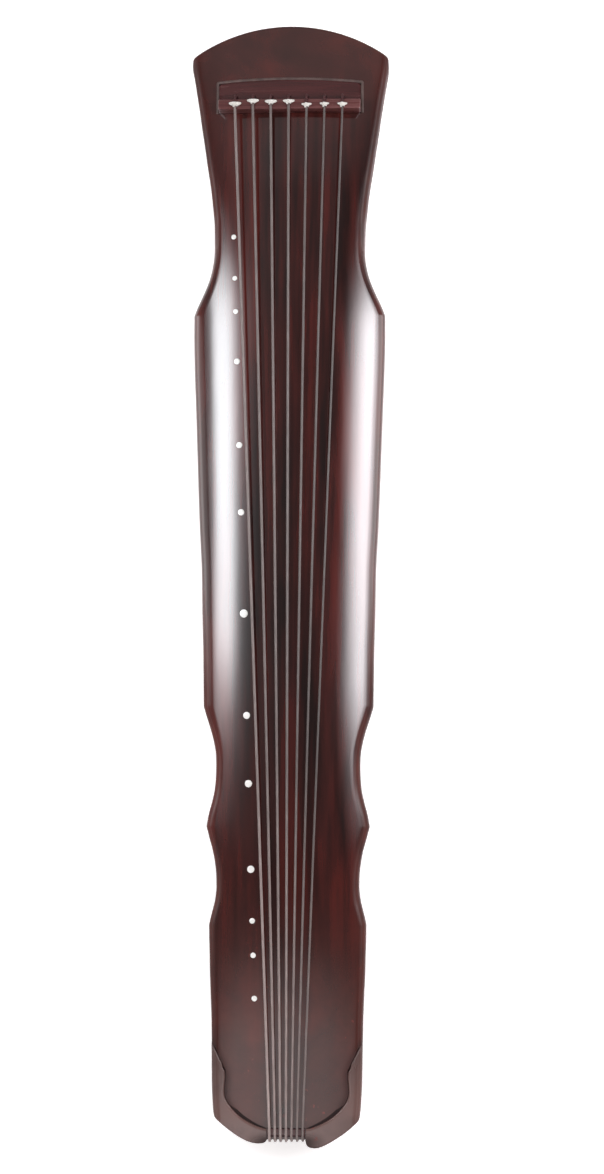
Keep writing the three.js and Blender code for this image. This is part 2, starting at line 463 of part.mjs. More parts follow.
// ------------------------------------------------------------------ strings
// over the bridge, along the top, over the nut, down the tail, round the lower
// gum, along the underside and round one of the goose feet
const TURN_STEP = Math.PI / 5, TURN_STEPS = 12;                  // a turn and a fifth
const windTop = [];                                              // start height of each winding
for (const foot of [[0, 1, 2, 3], [6, 5, 4]]) {
  let z = 26.2;
  foot.forEach((i, k) => {
    windTop[i] = z;
    const next = foot[k + 1] ?? i;
    z -= (2 * STRING_R[i] + 0.15) * TURN_STEPS / 10 + STRING_R[i] + STRING_R[next] + 0.15;
  });
}
for (let i = 0; i < 7; i++) {
  const r = STRING_R[i], yb = Y_BRIDGE[i], yn = Y_NUT[i];
  const s = i < 4 ? 1 : -1;                                     // the foot it is wound on
  const kx = KNOT_X[i], knotZ = bridgeTop(kx) + GAP + 2.4;
  const pts = [[kx - 1.5, yb, knotZ], [BRIDGE_X, yb, Z_BRIDGE]];
  pts.push([NUT_X, yn, Z_NUT], [-597.8, yn, Z_NUT - 0.1], [-602.0, yn, Z_NUT - 1.6], [-603.7, yn, Z_NUT - 5.6],
    [-603.7, yn, 33.0], [-602.2, yn, 29.2], [-598.4, yn, 27.75]);
  // winding on the foot: comes in on the inner side, turns round the outside
  const R = NECK_R + GAP + r + 0.6, fy = s * FEET[1];
  const drop = (2 * r + 0.15) / 10;
  const a0 = -s * Math.PI / 2 * 1.0;                            // inner tangent point
  const heading = Math.atan2(fy - s * R - yn, FEET[0] + 598.4);
  const start = a0 + heading;
  for (let k = 0; k <= TURN_STEPS; k++) {
    const a = start + s * k * TURN_STEP;
    pts.push([FEET[0] + R * Math.cos(a), fy + R * Math.sin(a), windTop[i] - k * drop]);
  }
  const knot = new THREE.SphereGeometry(1, 8, 6);
  knot.rotateX(Math.PI / 2);
  const kw = [6.6, 6.3, 6.4, 6.2, 5.4, 5.0, 5.3][i];
  knot.scale(3.1, kw, 2.4);
  knot.translate(kx, yb, knotZ);
  piece('string_' + (i + 1), join(tube(pts, r), knot), mat(STRING, 0.4));
}

// ------------------------------------------------------------- tuning cords
Y_BRIDGE.forEach((y, i) => {
  const kx = KNOT_X[i], z = bridgeTop(kx) + GAP + 2.4;
  const pts = [[kx + 3.6, y, z - 0.2], [Math.max(kx + 4.8, 527), y, 91.2], [529.2, y, 89.6], [531, y, 86.6], [531.9, y, 82.5],
    [PEG_X, y, 78], [PEG_X, y, 60], [PEG_X, y, 34]];
  piece('tuning_cord_' + (i + 1), tube(pts, 1.2), mat(SILK, 0.7));
});

// -------------------------------------------------------------- tuning pegs
Y_BRIDGE.forEach((y, i) => {
  const peg = turned([[0, PEG_BOTTOM], [5.2, PEG_BOTTOM], [6.5, 5.4], [7.0, 18], [6.7, 30], [5.2, 31.6], [5.2, 36], [6.5, 37.6], [6.5, PEG_TOP],
    [2.3, PEG_TOP], [2.3, 14], [0, 14]], PEG_X, y, 10);
  const side = new THREE.CylinderGeometry(1.1, 1.1, 8, 6);
  side.rotateX(0);
  side.translate(PEG_X, y + 5, 33.6);
  piece('tuning_peg_' + (i + 1), cut(peg, side), mat(PEG, 0.3));
});

export default guqin;
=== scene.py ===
"""A guqin: seven-string board zither in dark lacquer, with shell markers, silk knots and turned pegs.
Lengths in the tables are millimetres; every mesh is made in metres in the row frame (+X head, +Y marker side, +Z up)."""
import bpy, bmesh, math
import numpy as np
from mathutils import Matrix, Vector, noise


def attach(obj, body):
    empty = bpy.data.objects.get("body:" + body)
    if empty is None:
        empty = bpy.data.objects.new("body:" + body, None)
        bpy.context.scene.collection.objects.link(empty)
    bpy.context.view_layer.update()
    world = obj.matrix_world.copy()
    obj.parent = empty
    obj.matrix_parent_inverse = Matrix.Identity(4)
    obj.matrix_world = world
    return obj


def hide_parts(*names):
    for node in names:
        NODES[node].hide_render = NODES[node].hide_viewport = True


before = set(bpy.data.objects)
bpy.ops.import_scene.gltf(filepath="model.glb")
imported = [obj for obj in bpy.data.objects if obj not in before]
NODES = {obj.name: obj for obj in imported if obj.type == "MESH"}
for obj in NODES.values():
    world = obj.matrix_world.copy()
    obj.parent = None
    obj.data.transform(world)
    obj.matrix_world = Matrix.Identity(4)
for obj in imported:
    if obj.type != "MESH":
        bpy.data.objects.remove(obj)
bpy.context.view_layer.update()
scene = bpy.context.scene
scene.view_settings.view_transform = "Standard"
scene.view_settings.look = "None"

# ------------------------------------------------------------------ dimensions
FOOT_H, BACK_TOP, GAP = 30.0, 41.0, 0.3
HEAD_X, HEAD_CORNER = 613.4, (579.0, 108.6)
BRIDGE_X, NUT_X = 514.0, -591.0
SCALE = BRIDGE_X - NUT_X
Z_BRIDGE, Z_NUT = FOOT_H + 62.5, FOOT_H + 41.5
HUI_T = [1/8, 1/6, 1/5, 1/4, 1/3, 2/5, 1/2, 3/5, 2/3, 3/4, 4/5, 5/6, 7/8]
HUI_D = [5.4, 5.2, 5.3, 6.4, 6.6, 6.9, 8.8, 7.5, 7.9, 7.8, 6.0, 5.8, 5.9]
HUI_LINE = (65.44, -35.1)
STRING_R = [0.85, 0.80, 0.75, 0.70, 0.65, 0.60, 0.55]
Y_BRIDGE = [59.2, 39.6, 20.0, 0.4, -19.2, -38.8, -58.4]
Y_NUT = [17.7, 11.8, 5.9, 0.0, -5.9, -11.8, -17.7]
KNOT_X = [519.7, 523.1, 522.1, 522.4, 518.3, 518.9, 518.7]
KNOT_W = [6.6, 6.3, 6.4, 6.2, 5.4, 5.0, 5.3]
PEG_X, CORD_HOLE_R = 532.0, 2.1
FEET = (-262.0, 58.0)
NECK_R = 9.0
DRAGON_POOL, PHOENIX_POOL = (-40.0, 238.0, 13.5), (-442.0, -327.0, 12.5)
SEAT_Y, SEAT_X = 78.1, (514.7, 548.3)
POOL = (518.0, 548.0, 76.0)
NUT_Y = 20.2

OUTLINE = [
    (-583, 78.2), (-565.2, 79.6), (-540, 80.6), (-501, 81.2), (-475.6, 81.7), (-449.9, 82.7),
    (-424, 83.8), (-398.4, 84.4), (-385.5, 84.8), (-374.5, 84.9), (-367, 83.2), (-359.7, 81.4),
    (-346.7, 78.3), (-333.8, 77.1), (-320.9, 77.4), (-307.9, 78.8), (-295, 81.3), (-282, 84.9),
    (-269, 88.4), (-256, 86.1), (-243, 82.6), (-230, 79.7), (-217, 78.4), (-203.9, 78),
    (-190.9, 78.4), (-177.8, 80.6), (-164.8, 84), (-151.7, 88.3), (-139, 92.2), (-121.2, 92.5),
    (-77.5, 93.2), (-33.6, 94.5), (10.3, 95.4), (54.4, 97.7), (98.5, 99.5), (142.8, 101.1),
    (187.2, 102.7), (231.7, 104.4), (270, 105.2), (290.5, 105.2), (298.7, 102), (309, 97.2),
    (321, 91.7), (332, 87.6), (343.4, 84.8), (354, 83.2), (365.8, 82.6), (388.3, 82.9),
    (410.8, 84.8), (433.3, 87.4), (455.9, 91), (478.5, 94.3), (501.1, 97.8), (523.8, 101.1),
    (546.5, 104.8), (569.2, 108), (583, 108.65),
]
CORNERS = (-374.5, -269, -139, 290.5)


def hermite(table, x):
    """A smooth curve through the table's points that never swings past them."""
    t = np.asarray(table, float)
    X, Y = t[:, 0], t[:, 1]
    h, d = np.diff(X), np.diff(Y) / np.diff(X)
    m = np.zeros(len(X))
    for i in range(1, len(X) - 1):
        if d[i - 1] * d[i] > 0:
            w1, w2 = 2 * h[i] + h[i - 1], h[i] + 2 * h[i - 1]
            m[i] = (w1 + w2) / (w1 / d[i - 1] + w2 / d[i])
    m[0], m[-1] = d[0], d[-1]
    x = np.clip(np.asarray(x, float), X[0], X[-1])
    i = np.clip(np.searchsorted(X, x) - 1, 0, len(h) - 1)
    s = (x - X[i]) / h[i]
    return ((1 + 2 * s) * (1 - s) ** 2 * Y[i] + s * (1 - s) ** 2 * h[i] * m[i]
            + s * s * (3 - 2 * s) * Y[i + 1] + s * s * (s - 1) * h[i] * m[i + 1])


def smooth(values, sigma):
    n = int(sigma * 4) + 1
    k = np.exp(-0.5 * (np.arange(-n, n + 1) / sigma) ** 2)
    return np.convolve(np.pad(values, n, mode="edge"), k / k.sum(), mode="valid")


XF = np.arange(-583, 583.01, 0.5)
WF = np.zeros(len(XF))
edges = [OUTLINE[0][0], *CORNERS, OUTLINE[-1][0]]
for a, b in zip(edges[:-1], edges[1:]):
    part = [p for p in OUTLINE if a <= p[0] <= b]
    sel = (XF >= a) & (XF <= b)
    WF[sel] = hermite(part, XF[sel])
WF = smooth(WF, 1.6)
CREST = [(-612, 37.5), (-591, 38), (290, 50), (360, 49.6), (440, 47.6), (514, 45), (560, 43), (614, 40)]
EDGE = [(-612, 27), (-400, 25), (290, 25), (440, 30), (612, 30)]
XC = np.arange(-612, 614.1, 1.0)
CF = smooth(np.interp(XC, *np.transpose(CREST)), 14)
EF = smooth(np.interp(XC, *np.transpose(EDGE)), 14)
ARCH = [(-612, 0.001), (-500, 0.00102), (-334, 0.00125), (-139, 0.00142), (60, 0.00138), (290, 0.00127), (388, 0.00112), (440, 0.00098), (514, 0.00081), (582, 0.0005), (612, 0.00045)]
AF = smooth(np.interp(XC, *np.transpose(ARCH)), 20)
ROLL = 7.8


def W(x):
    return np.interp(x, XF, WF)


def surf(x, y):
    """Height of the soundboard's top: a flat arch that rolls off at both sides."""
    x, y = np.asarray(x, float), np.asarray(y, float)
    w = W(x)
    a = np.minimum(np.abs(y), w)
    zc, ze = FOOT_H + np.interp(x, XC, CF), FOOT_H + np.interp(x, XC, EF)
    drop = np.minimum(7.0, (zc - ze) * 0.5)
    s = np.clip((a - (w - ROLL)) / ROLL, 0, 1)
    return zc - np.interp(x, XC, AF) * a * a - drop * (1 - np.sqrt(1 - s * s))


HEAD_R = (HEAD_CORNER[1] ** 2 + (HEAD_X - HEAD_CORNER[0]) ** 2) / (2 * (HEAD_X - HEAD_CORNER[0]))


def head_x(y):
    """The head's end as x over y, its corners rounded."""
    a, rc = np.abs(np.asarray(y, float)), 2.0
    e = np.clip(a - (HEAD_CORNER[1] - rc), 0, rc)
    return HEAD_X - HEAD_R + np.sqrt(HEAD_R ** 2 - np.minimum(a, HEAD_CORNER[1]) ** 2) - (rc - np.sqrt(rc ** 2 - e ** 2))


TAIL_LEFT = [(0, -602.5), (20.6, -602.5), (21.4, -603.6), (22.8, -605.0), (25.4, -605.9), (30, -606.3), (34, -606.0), (38.7, -605.0),
             (43, -603.5), (47.3, -601.4), (51.6, -599.1), (56, -596.3), (60.2, -593.4), (64.5, -590.3), (68.8, -587.0), (74.6, -582.1),
             (77.2, -579.6), (78.4, -576.6), (80, -572)]
TAIL_RIGHT = [(0, -602.5), (20.6, -602.5), (21.2, -606.0), (22.4, -608.6), (25.4, -610.2), (30, -611.0), (34.2, -610.6), (38.4, -609.2),
              (42.7, -607.3), (47, -605.0), (51.3, -602.4), (55.5, -599.8), (59.8, -597.0), (64.1, -593.9), (68.3, -590.6), (75.4, -584.2),
              (77.6, -581.6), (78.5, -578.4), (80, -574)]
YT = np.arange(0, 80.01, 0.1)
TF_LEFT, TF_RIGHT = (smooth(np.interp(YT, *np.transpose(t)), 5) for t in (TAIL_LEFT, TAIL_RIGHT))


def tail_x(y):
    """The tail's end as x over y: diagonal corners, two lobes and the strings' notch between them; the right lobe reaches further."""
    y = np.asarray(y, float)
    return np.where(y >= 0, np.interp(np.abs(y), YT, TF_LEFT), np.interp(np.abs(y), YT, TF_RIGHT))


# ------------------------------------------------------------------- mesh tools
def make(name, verts, faces, material=None, sharp=None):
    mesh = bpy.data.meshes.new(name)
    mesh.from_pydata([tuple(c * 0.001 for c in v) for v in verts], [], [tuple(int(i) for i in f) for f in faces])
    bm = bmesh.new()
    bm.from_mesh(mesh)
    bmesh.ops.remove_doubles(bm, verts=bm.verts, dist=2e-6)
    bmesh.ops.recalc_face_normals(bm, faces=bm.faces)
    if bm.calc_volume(signed=True) < 0:
        bmesh.ops.reverse_faces(bm, faces=bm.faces)
    bm.to_mesh(mesh)
    bm.free()
    obj = bpy.data.objects.new(name, mesh)
    scene.collection.objects.link(obj)
    shade(obj, sharp)
    if material:
        mesh.materials.append(material)
    return obj


def shade(obj, sharp=None):
    mesh = obj.data
    mesh.polygons.foreach_set("use_smooth", [True] * len(mesh.polygons))
    if sharp is not None:
        mesh.set_sharp_from_angle(angle=math.radians(sharp))
    mesh.update()


def baked(obj):
    """Applies the object's modifiers to its mesh."""
    bpy.context.view_layer.update()
    mesh = bpy.data.meshes.new_from_object(obj.evaluated_get(bpy.context.evaluated_depsgraph_get()))
    old = obj.data
    obj.modifiers.clear()
    obj.data = mesh
    bpy.data.meshes.remove(old)
    mesh.name = obj.name
    return obj


def cut(obj, *cutters):
    for c in cutters:
        m = obj.modifiers.new("cut", "BOOLEAN")
        m.operation, m.solver, m.object = "DIFFERENCE", "EXACT", c
    baked(obj)
    for c in cutters:
        bpy.data.objects.remove(c)
    return obj


def close_slits(obj):
    """Closes the hairline gaps that a cut leaves at sharp corners."""
    bm = bmesh.new()
    bm.from_mesh(obj.data)
    edge = [v for v in bm.verts if any(len(e.link_faces) == 1 for e in v.link_edges)]
    if edge:
        bmesh.ops.remove_doubles(bm, verts=edge, dist=3e-4)
    bm.to_mesh(obj.data)
    bm.free()
    return obj


def bevelled(obj, width, segments=3, angle=40):
    m = obj.modifiers.new("bevel", "BEVEL")
    m.width, m.segments, m.limit_method, m.angle_limit, m.harden_normals = width * 0.001, segments, "ANGLE", math.radians(angle), False
    return obj


def piece(obj, slot, *nodes, body="root"):
    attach(obj, body)
    if nodes:
        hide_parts(*nodes)
    return obj


def grid_faces(rows, cols, closed=False, base=0):
    f = []
    for i in range(rows - 1):
        for j in range(cols if closed else cols - 1):
            k = (j + 1) % cols
            f.append((base + i * cols + j, base + i * cols + k, base + (i + 1) * cols + k, base + (i + 1) * cols + j))
    return f


def lathe(name, profile, x, y, sides, material, flute=None, sharp=35):
    """A turned piece about the vertical line through x, y. flute(r, z, angle) may change the radius."""
    verts, n = [], len(profile)
    for r, z in profile:
        for k in range(sides):
            a = 2 * math.pi * k / sides
            rr = flute(r, z, a) if flute else r
            verts.append((x + rr * math.cos(a), y + rr * math.sin(a), z))
    faces = grid_faces(n, sides, closed=True)
    faces.append(tuple(range(sides)))
    faces.append(tuple((n - 1) * sides + k for k in range(sides)))
    return make(name, verts, faces, material, sharp)


def rounded(points, radius, steps=4):
    """A closed polygon with its corners rounded; radius is one number or one for each corner."""
    out, n = [], len(points)
    for i, p in enumerate(points):
        r = radius[i] if hasattr(radius, "__len__") else radius
        a, b, c = np.array(points[i - 1], float), np.array(p, float), np.array(points[(i + 1) % n], float)
        u, v = (a - b) / np.linalg.norm(a - b), (c - b) / np.linalg.norm(c - b)
        half = math.acos(max(-1, min(1, float(u @ v)))) / 2
        if r <= 0 or half > math.radians(88):
            out.append(tuple(b))
            continue
        t = min(r / math.tan(half), np.linalg.norm(a - b) * 0.48, np.linalg.norm(c - b) * 0.48)
        p0, p1 = b + u * t, b + v * t
        for k in range(steps + 1):
            s = k / steps
            out.append(tuple((1 - s) ** 2 * p0 + 2 * s * (1 - s) * b + s * s * p1))
    return out


def inset(points, d):
    """The closed polygon with each side moved inwards by d."""
    p = np.asarray(points, float)
    area = 0.5 * np.sum(p[:, 0] * np.roll(p[:, 1], -1) - np.roll(p[:, 0], -1) * p[:, 1])
    e = np.roll(p, -1, 0) - p
    e /= np.linalg.norm(e, axis=1)[:, None] + 1e-12
    nrm = np.stack([-e[:, 1], e[:, 0]], 1) * np.sign(area)
    m = nrm + np.roll(nrm, 1, 0)
    k = d / np.maximum(0.35, 1 + np.sum(nrm * np.roll(nrm, 1, 0), 1))
    return p + m * k[:, None]


def even(obj):
    """Gives the broad flat faces a flat shading up to their rounded edges."""
    m = obj.modifiers.new("even", "WEIGHTED_NORMAL")
    m.mode, m.weight, m.keep_sharp = "FACE_AREA", 50, True
    return obj


def plate(name, outline, z0, z1, material=None, r0=0.0, r1=0.0, place=lambda a, b, c: (a, b, c), sharp=35, steps=4, shrink=inset):
    """A plate of that outline from z0 to z1, its lower edge rounded by r0 and its upper one by r1."""
    rings = []
    for k in range(steps + 1 if r0 else 1):
        a = math.pi / 2 * (k / steps if r0 else 1)
        rings.append((r0 * (1 - math.sin(a)), z0 + r0 * (1 - math.cos(a))))
    for k in range(steps + 1 if r1 else 1):
        a = math.pi / 2 * (1 - k / steps if r1 else 1)
        rings.append((r1 * (1 - math.sin(a)), z1 - r1 * (1 - math.cos(a))))
    verts, n = [], len(outline)
    for d, z in rings:
        for q in (shrink(outline, d) if d > 1e-6 else outline):
            verts.append(place(q[0], q[1], z))
    faces = grid_faces(len(rings), n, closed=True)
    faces.append(tuple(range(n)))
    faces.append(tuple((len(rings) - 1) * n + k for k in range(n)))
    return make(name, verts, faces, material, sharp)


def stadium(x0, x1, half, n=20):
    pts = [(x1 - half + half * math.cos(a), half * math.sin(a)) for a in np.linspace(-math.pi / 2, math.pi / 2, n)]
    return pts + [(x0 + half + half * math.cos(a), half * math.sin(a)) for a in np.linspace(math.pi / 2, 3 * math.pi / 2, n)]


def rect(x0, x1, y0, y1):
    return [(x0, y0), (x1, y0), (x1, y1), (x0, y1)]


def resample(points, step):
    p = np.asarray(points, float)
    s = np.concatenate([[0], np.cumsum(np.linalg.norm(np.diff(p, axis=0), axis=1))])
    n = max(2, int(round(s[-1] / step)) + 1)
    t = np.linspace(0, s[-1], n)
    return np.stack([np.interp(t, s, p[:, k]) for k in range(3)], 1)


def spline(points, step, tension=0.5):
    """A smooth curve through the points, with a point at every step."""
    p = np.asarray(points, float)
    p = np.vstack([2 * p[0] - p[1], p, 2 * p[-1] - p[-2]])
    out = []
    for i in range(1, len(p) - 2):
        n = max(2, int(np.linalg.norm(p[i + 1] - p[i]) / step * 1.5))
        m0, m1 = tension * (p[i + 1] - p[i - 1]), tension * (p[i + 2] - p[i])
        for s in np.linspace(0, 1, n, endpoint=False):
            out.append((1 + 2 * s) * (1 - s) ** 2 * p[i] + s * (1 - s) ** 2 * m0 + s * s * (3 - 2 * s) * p[i + 1] + s * s * (s - 1) * m1)
    out.append(p[-2])
    return resample(out, step)


def sweep(path, radius, sides=12, plies=0, pitch=6.0, depth=0.2, phase=0.0, taper=0.0):
    """Vertices and faces of a tube along the path; plies gives it the lobes of a twisted cord."""
    p = np.asarray(path, float)
    n = len(p)
    tan = np.gradient(p, axis=0)
    tan /= np.linalg.norm(tan, axis=1)[:, None]
    ref = np.array([0, 0, 1.0]) if abs(tan[0][2]) < 0.9 else np.array([0, 1.0, 0])
    u = np.cross(tan[0], ref)
    u /= np.linalg.norm(u)
    s = np.concatenate([[0], np.cumsum(np.linalg.norm(np.diff(p, axis=0), axis=1))])
    verts = []
    for i in range(n):
        u = u - tan[i] * (u @ tan[i])
        u /= np.linalg.norm(u)
        v = np.cross(tan[i], u)
        turn = 2 * math.pi * s[i] / pitch
        r0 = radius[i] if hasattr(radius, "__len__") else radius
        if taper:
            end = min(s[i], s[-1] - s[i])
            r0 *= math.sqrt(max(0.02, 1 - max(0.0, 1 - end / taper) ** 2))
        for k in range(sides):
            a = 2 * math.pi * k / sides
            r = r0
            if plies:
                r *= 1 - depth + depth * abs(math.cos((a - turn) * plies / 2 + phase))
            verts.append(p[i] + (u * math.cos(a) + v * math.sin(a)) * r)
    faces = grid_faces(n, sides, closed=True)
    faces.append(tuple(range(sides)))
    faces.append(tuple((n - 1) * sides + k for k in range(sides)))
    return verts, faces


def tubes(name, sweeps, material, sharp=None):
    verts, faces = [], []
    for v, f in sweeps:
        b = len(verts)
        verts += list(v)
        faces += [tuple(i + b for i in q) for q in f]
    mesh = bpy.data.meshes.new(name)
    mesh.from_pydata([tuple(c * 0.001 for c in v) for v in verts], [], faces)
    bm = bmesh.new()
    bm.from_mesh(mesh)
    bmesh.ops.recalc_face_normals(bm, faces=bm.faces)
    bm.to_mesh(mesh)
    bm.free()
    obj = bpy.data.objects.new(name, mesh)
    scene.collection.objects.link(obj)
    shade(obj, sharp)
    mesh.materials.append(material)
    return obj


# -------------------------------------------------------------------- materials
class Nodes:
    """Short names for building a material's nodes."""

    def __init__(self, name, rough=0.3, metal=0.0, spec=0.5, coat=0.0, coat_rough=0.05, sheen=0.0, ior=1.5):
        self.mat = bpy.data.materials.new(name)
        self.mat.use_nodes = True
        self.t = self.mat.node_tree
        self.bsdf = next(n for n in self.t.nodes if n.type == "BSDF_PRINCIPLED")
        self.set("Roughness", rough)
        self.set("Metallic", metal)
        self.set("Specular IOR Level", spec)
        self.set("Coat Weight", coat)
        self.set("Coat Roughness", coat_rough)
        self.set("Sheen Weight", sheen)
        self.set("IOR", ior)
        self.coord = self.t.nodes.new("ShaderNodeTexCoord").outputs["Object"]

    def set(self, socket, value):
        self.bsdf.inputs[socket].default_value = value

    def link(self, a, b):
        self.t.links.new(a, b)

    def mapped(self, scale, turn=(0, 0, 0), coord=None):
        n = self.t.nodes.new("ShaderNodeMapping")
        n.inputs["Scale"].default_value = scale
        n.inputs["Rotation"].default_value = turn
        self.link(coord or self.coord, n.inputs["Vector"])
        return n.outputs["Vector"]

    def noise(self, scale, at=None, detail=4.0, rough=0.55, distort=0.0):
        n = self.t.nodes.new("ShaderNodeTexNoise")
        n.inputs["Scale"].default_value = scale
        n.inputs["Detail"].default_value = detail
        n.inputs["Roughness"].default_value = rough
        n.inputs["Distortion"].default_value = distort
        self.link(at or self.coord, n.inputs["Vector"])
        return n.outputs["Fac"]

    def voronoi(self, scale, at=None, feature="F1"):
        n = self.t.nodes.new("ShaderNodeTexVoronoi")
        n.feature = feature
        n.inputs["Scale"].default_value = scale
        self.link(at or self.coord, n.inputs["Vector"])
        return n.outputs["Distance"]

    def wave(self, scale, at=None, distort=0.0, detail=2.0, direction="X", kind="BANDS"):
        n = self.t.nodes.new("ShaderNodeTexWave")
        n.wave_type = kind
        if kind == "BANDS":
            n.bands_direction = direction
        else:
            n.rings_direction = direction
        n.inputs["Scale"].default_value = scale
        n.inputs["Distortion"].default_value = distort
        n.inputs["Detail"].default_value = detail
        self.link(at or self.coord, n.inputs["Vector"])
        return n.outputs["Fac"]

    def ramp(self, fac, stops):
        n = self.t.nodes.new("ShaderNodeValToRGB")
        r = n.color_ramp
        while len(r.elements) < len(stops):
            r.elements.new(0.5)
        for e, (pos, c) in zip(r.elements, stops):
            e.position = pos
            e.color = (*c, 1) if hasattr(c, "__len__") else (c, c, c, 1)
        self.link(fac, n.inputs["Fac"])
        return n.outputs["Color"]

    def range(self, fac, a, b, c, d):
        n = self.t.nodes.new("ShaderNodeMapRange")
        for k, v in zip(("From Min", "From Max", "To Min", "To Max"), (a, b, c, d)):
            n.inputs[k].default_value = v
        self.link(fac, n.inputs["Value"])
        return n.outputs["Result"]

    def math(self, op, a, b):
        n = self.t.nodes.new("ShaderNodeMath")
        n.operation = op
        for i, v in enumerate((a, b)):
            if isinstance(v, (int, float)):
                n.inputs[i].default_value = v
            else:
                self.link(v, n.inputs[i])
        return n.outputs[0]

    def mix(self, fac, a, b, mode="MIX"):
        n = self.t.nodes.new("ShaderNodeMix")
        n.data_type, n.blend_type = "RGBA", mode
        for socket, v in ((n.inputs[0], fac), (n.inputs[6], a), (n.inputs[7], b)):
            if isinstance(v, (int, float)):
                socket.default_value = v
            elif hasattr(v, "__len__"):
                socket.default_value = (*v, 1)
            else:
                self.link(v, socket)
        return n.outputs[2]

    def attr(self, name):
        n = self.t.nodes.new("ShaderNodeAttribute")
        n.attribute_name = name
        return n.outputs["Fac"]

    def xyz(self):
        n = self.t.nodes.new("ShaderNodeSeparateXYZ")
        self.link(self.coord, n.inputs[0])
        return n.outputs

    def bump(self, height, strength, distance):
        n = self.t.nodes.new("ShaderNodeBump")
        n.inputs["Strength"].default_value = strength
        n.inputs["Distance"].default_value = distance
        self.link(height, n.inputs["Height"])
        self.link(n.outputs["Normal"], self.bsdf.inputs["Normal"])
        return n

    def color(self, value):
        self.link(value, self.bsdf.inputs["Base Color"])
        return self

    def rough(self, value):
        self.link(value, self.bsdf.inputs["Roughness"])
        return self


def lacquer(name, gloss=0.09, dark=(0.0095, 0.0030, 0.0028), mid=(0.0300, 0.0060, 0.0052), red=(0.080, 0.0105, 0.0080), coat=0.35, warmth=(0.020, 0.0062, 0.0036)):
    """Dark maroon-brown lacquer: long dark and red streaks along the board, clouded patches at its ends, worn red at its rims."""
    m = Nodes(name, rough=gloss, spec=0.45, coat=coat, coat_rough=0.04)
    along = m.range(m.xyz()["X"], -0.62, 0.62, 0.0, 1.0)
    broad = m.noise(1.0, m.mapped((2.2, 20, 20)), detail=4, rough=0.55, distort=0.3)
    streak = m.noise(1.0, m.mapped((5, 62, 62)), detail=4, rough=0.55, distort=0.4)
    fine = m.noise(1.0, m.mapped((12, 190, 190)), detail=3, rough=0.55)
    total = m.math("ADD", m.math("ADD", m.math("MULTIPLY", broad, 0.50), m.math("MULTIPLY", streak, 0.38)), m.math("MULTIPLY", fine, 0.12))
    base = m.ramp(total, [(0.39, dark), (0.485, mid), (0.55, tuple(0.55 * a + 0.45 * b for a, b in zip(mid, red))), (0.65, red)])
    ends = m.ramp(along, [(0.0, 0.9), (0.13, 0.85), (0.22, 0.25), (0.30, 0.0), (0.84, 0.0), (0.92, 0.6), (0.96, 0.9), (1.0, 0.9)])
    cloud = m.noise(1.0, m.mapped((16, 15, 15)), detail=4, rough=0.55, distort=0.6)
    cloudy = m.ramp(cloud, [(0.34, tuple(0.5 * (a + b) for a, b in zip(mid, dark))), (0.50, mid), (0.62, tuple(0.72 * a + 0.28 * b for a, b in zip(mid, red))), (0.72, tuple(0.45 * a + 0.55 * b for a, b in zip(mid, red)))])
    base = m.mix(ends, base, cloudy)
    specks = m.math("MULTIPLY", m.range(m.noise(1.0, m.mapped((210, 260, 260)), detail=1), 0.69, 0.75, 0.0, 0.5),
                    m.math("MULTIPLY", m.range(m.noise(1.0, m.mapped((9, 17, 17)), detail=2), 0.50, 0.58, 0.0, 1.0), m.range(along, 0.12, 0.22, 1.0, 0.0)))
    base = m.mix(specks, base, (0.17, 0.020, 0.016))
    patch = m.noise(1.0, m.mapped((18, 16, 16)), detail=4, rough=0.6, distort=0.8)
    warm = m.math("MULTIPLY", m.ramp(along, [(0.0, 1.0), (0.12, 0.9), (0.18, 0.3), (0.26, 0.05), (0.88, 0.0), (0.945, 0.4), (1.0, 0.5)]),
                  m.range(patch, 0.39, 0.66, 0.4, 1.0))
    base = m.mix(warm, base, warmth, "ADD")
    rim = m.attr("rim")
    wear_and_painted_light = m.math("MULTIPLY", rim, m.range(m.noise(1.0, m.mapped((30, 60, 60)), detail=5), 0.36, 0.62, 0.15, 1.0))
    base = m.mix(wear_and_painted_light, base, (0.105, 0.026, 0.018))
    # painted shade: near-black is mixed in where the attribute marks the tail corners' grooves and the board beside
    # them; the same share dulls the coat there
    painted_shade = m.attr("painted_shade")
    base = m.mix(painted_shade, base, (0.0035, 0.0016, 0.0015))
    m.color(base)
    # the rims are rubbed duller than the flat, away from the middle
    geo = m.t.nodes.new("ShaderNodeNewGeometry")
    split = m.t.nodes.new("ShaderNodeSeparateXYZ")
    m.link(geo.outputs["Normal"], split.inputs[0])
    steep = m.math("MULTIPLY", m.range(split.outputs["Z"], 0.74, 0.97, 1.0, 0.0), m.ramp(along, [(0.0, 0.9), (0.40, 0.9), (0.50, 0.1), (0.77, 0.0), (0.83, 0.9), (1.0, 0.9)]))
    dull = m.math("MAXIMUM", painted_shade, steep)
    worn_gloss = m.math("ADD", m.math("MULTIPLY", dull, 0.4), m.math("MULTIPLY", rim, 0.12))
    m.rough(m.math("ADD", m.range(m.noise(1.0, m.mapped((5, 60, 60)), detail=5, rough=0.65), 0.3, 0.72, gloss * 0.85, gloss * 1.5), worn_gloss))
    m.link(m.range(dull, 0.0, 1.0, coat, 0.0), m.bsdf.inputs["Coat Weight"])
    m.link(m.range(dull, 0.0, 1.0, 0.45, 0.10), m.bsdf.inputs["Specular IOR Level"])
    m.bump(m.math("ADD", m.noise(1.0, m.mapped((9, 40, 40)), detail=2), m.math("MULTIPLY", m.noise(700, detail=2), 0.03)), 0.06, 0.0008)
    return m.mat


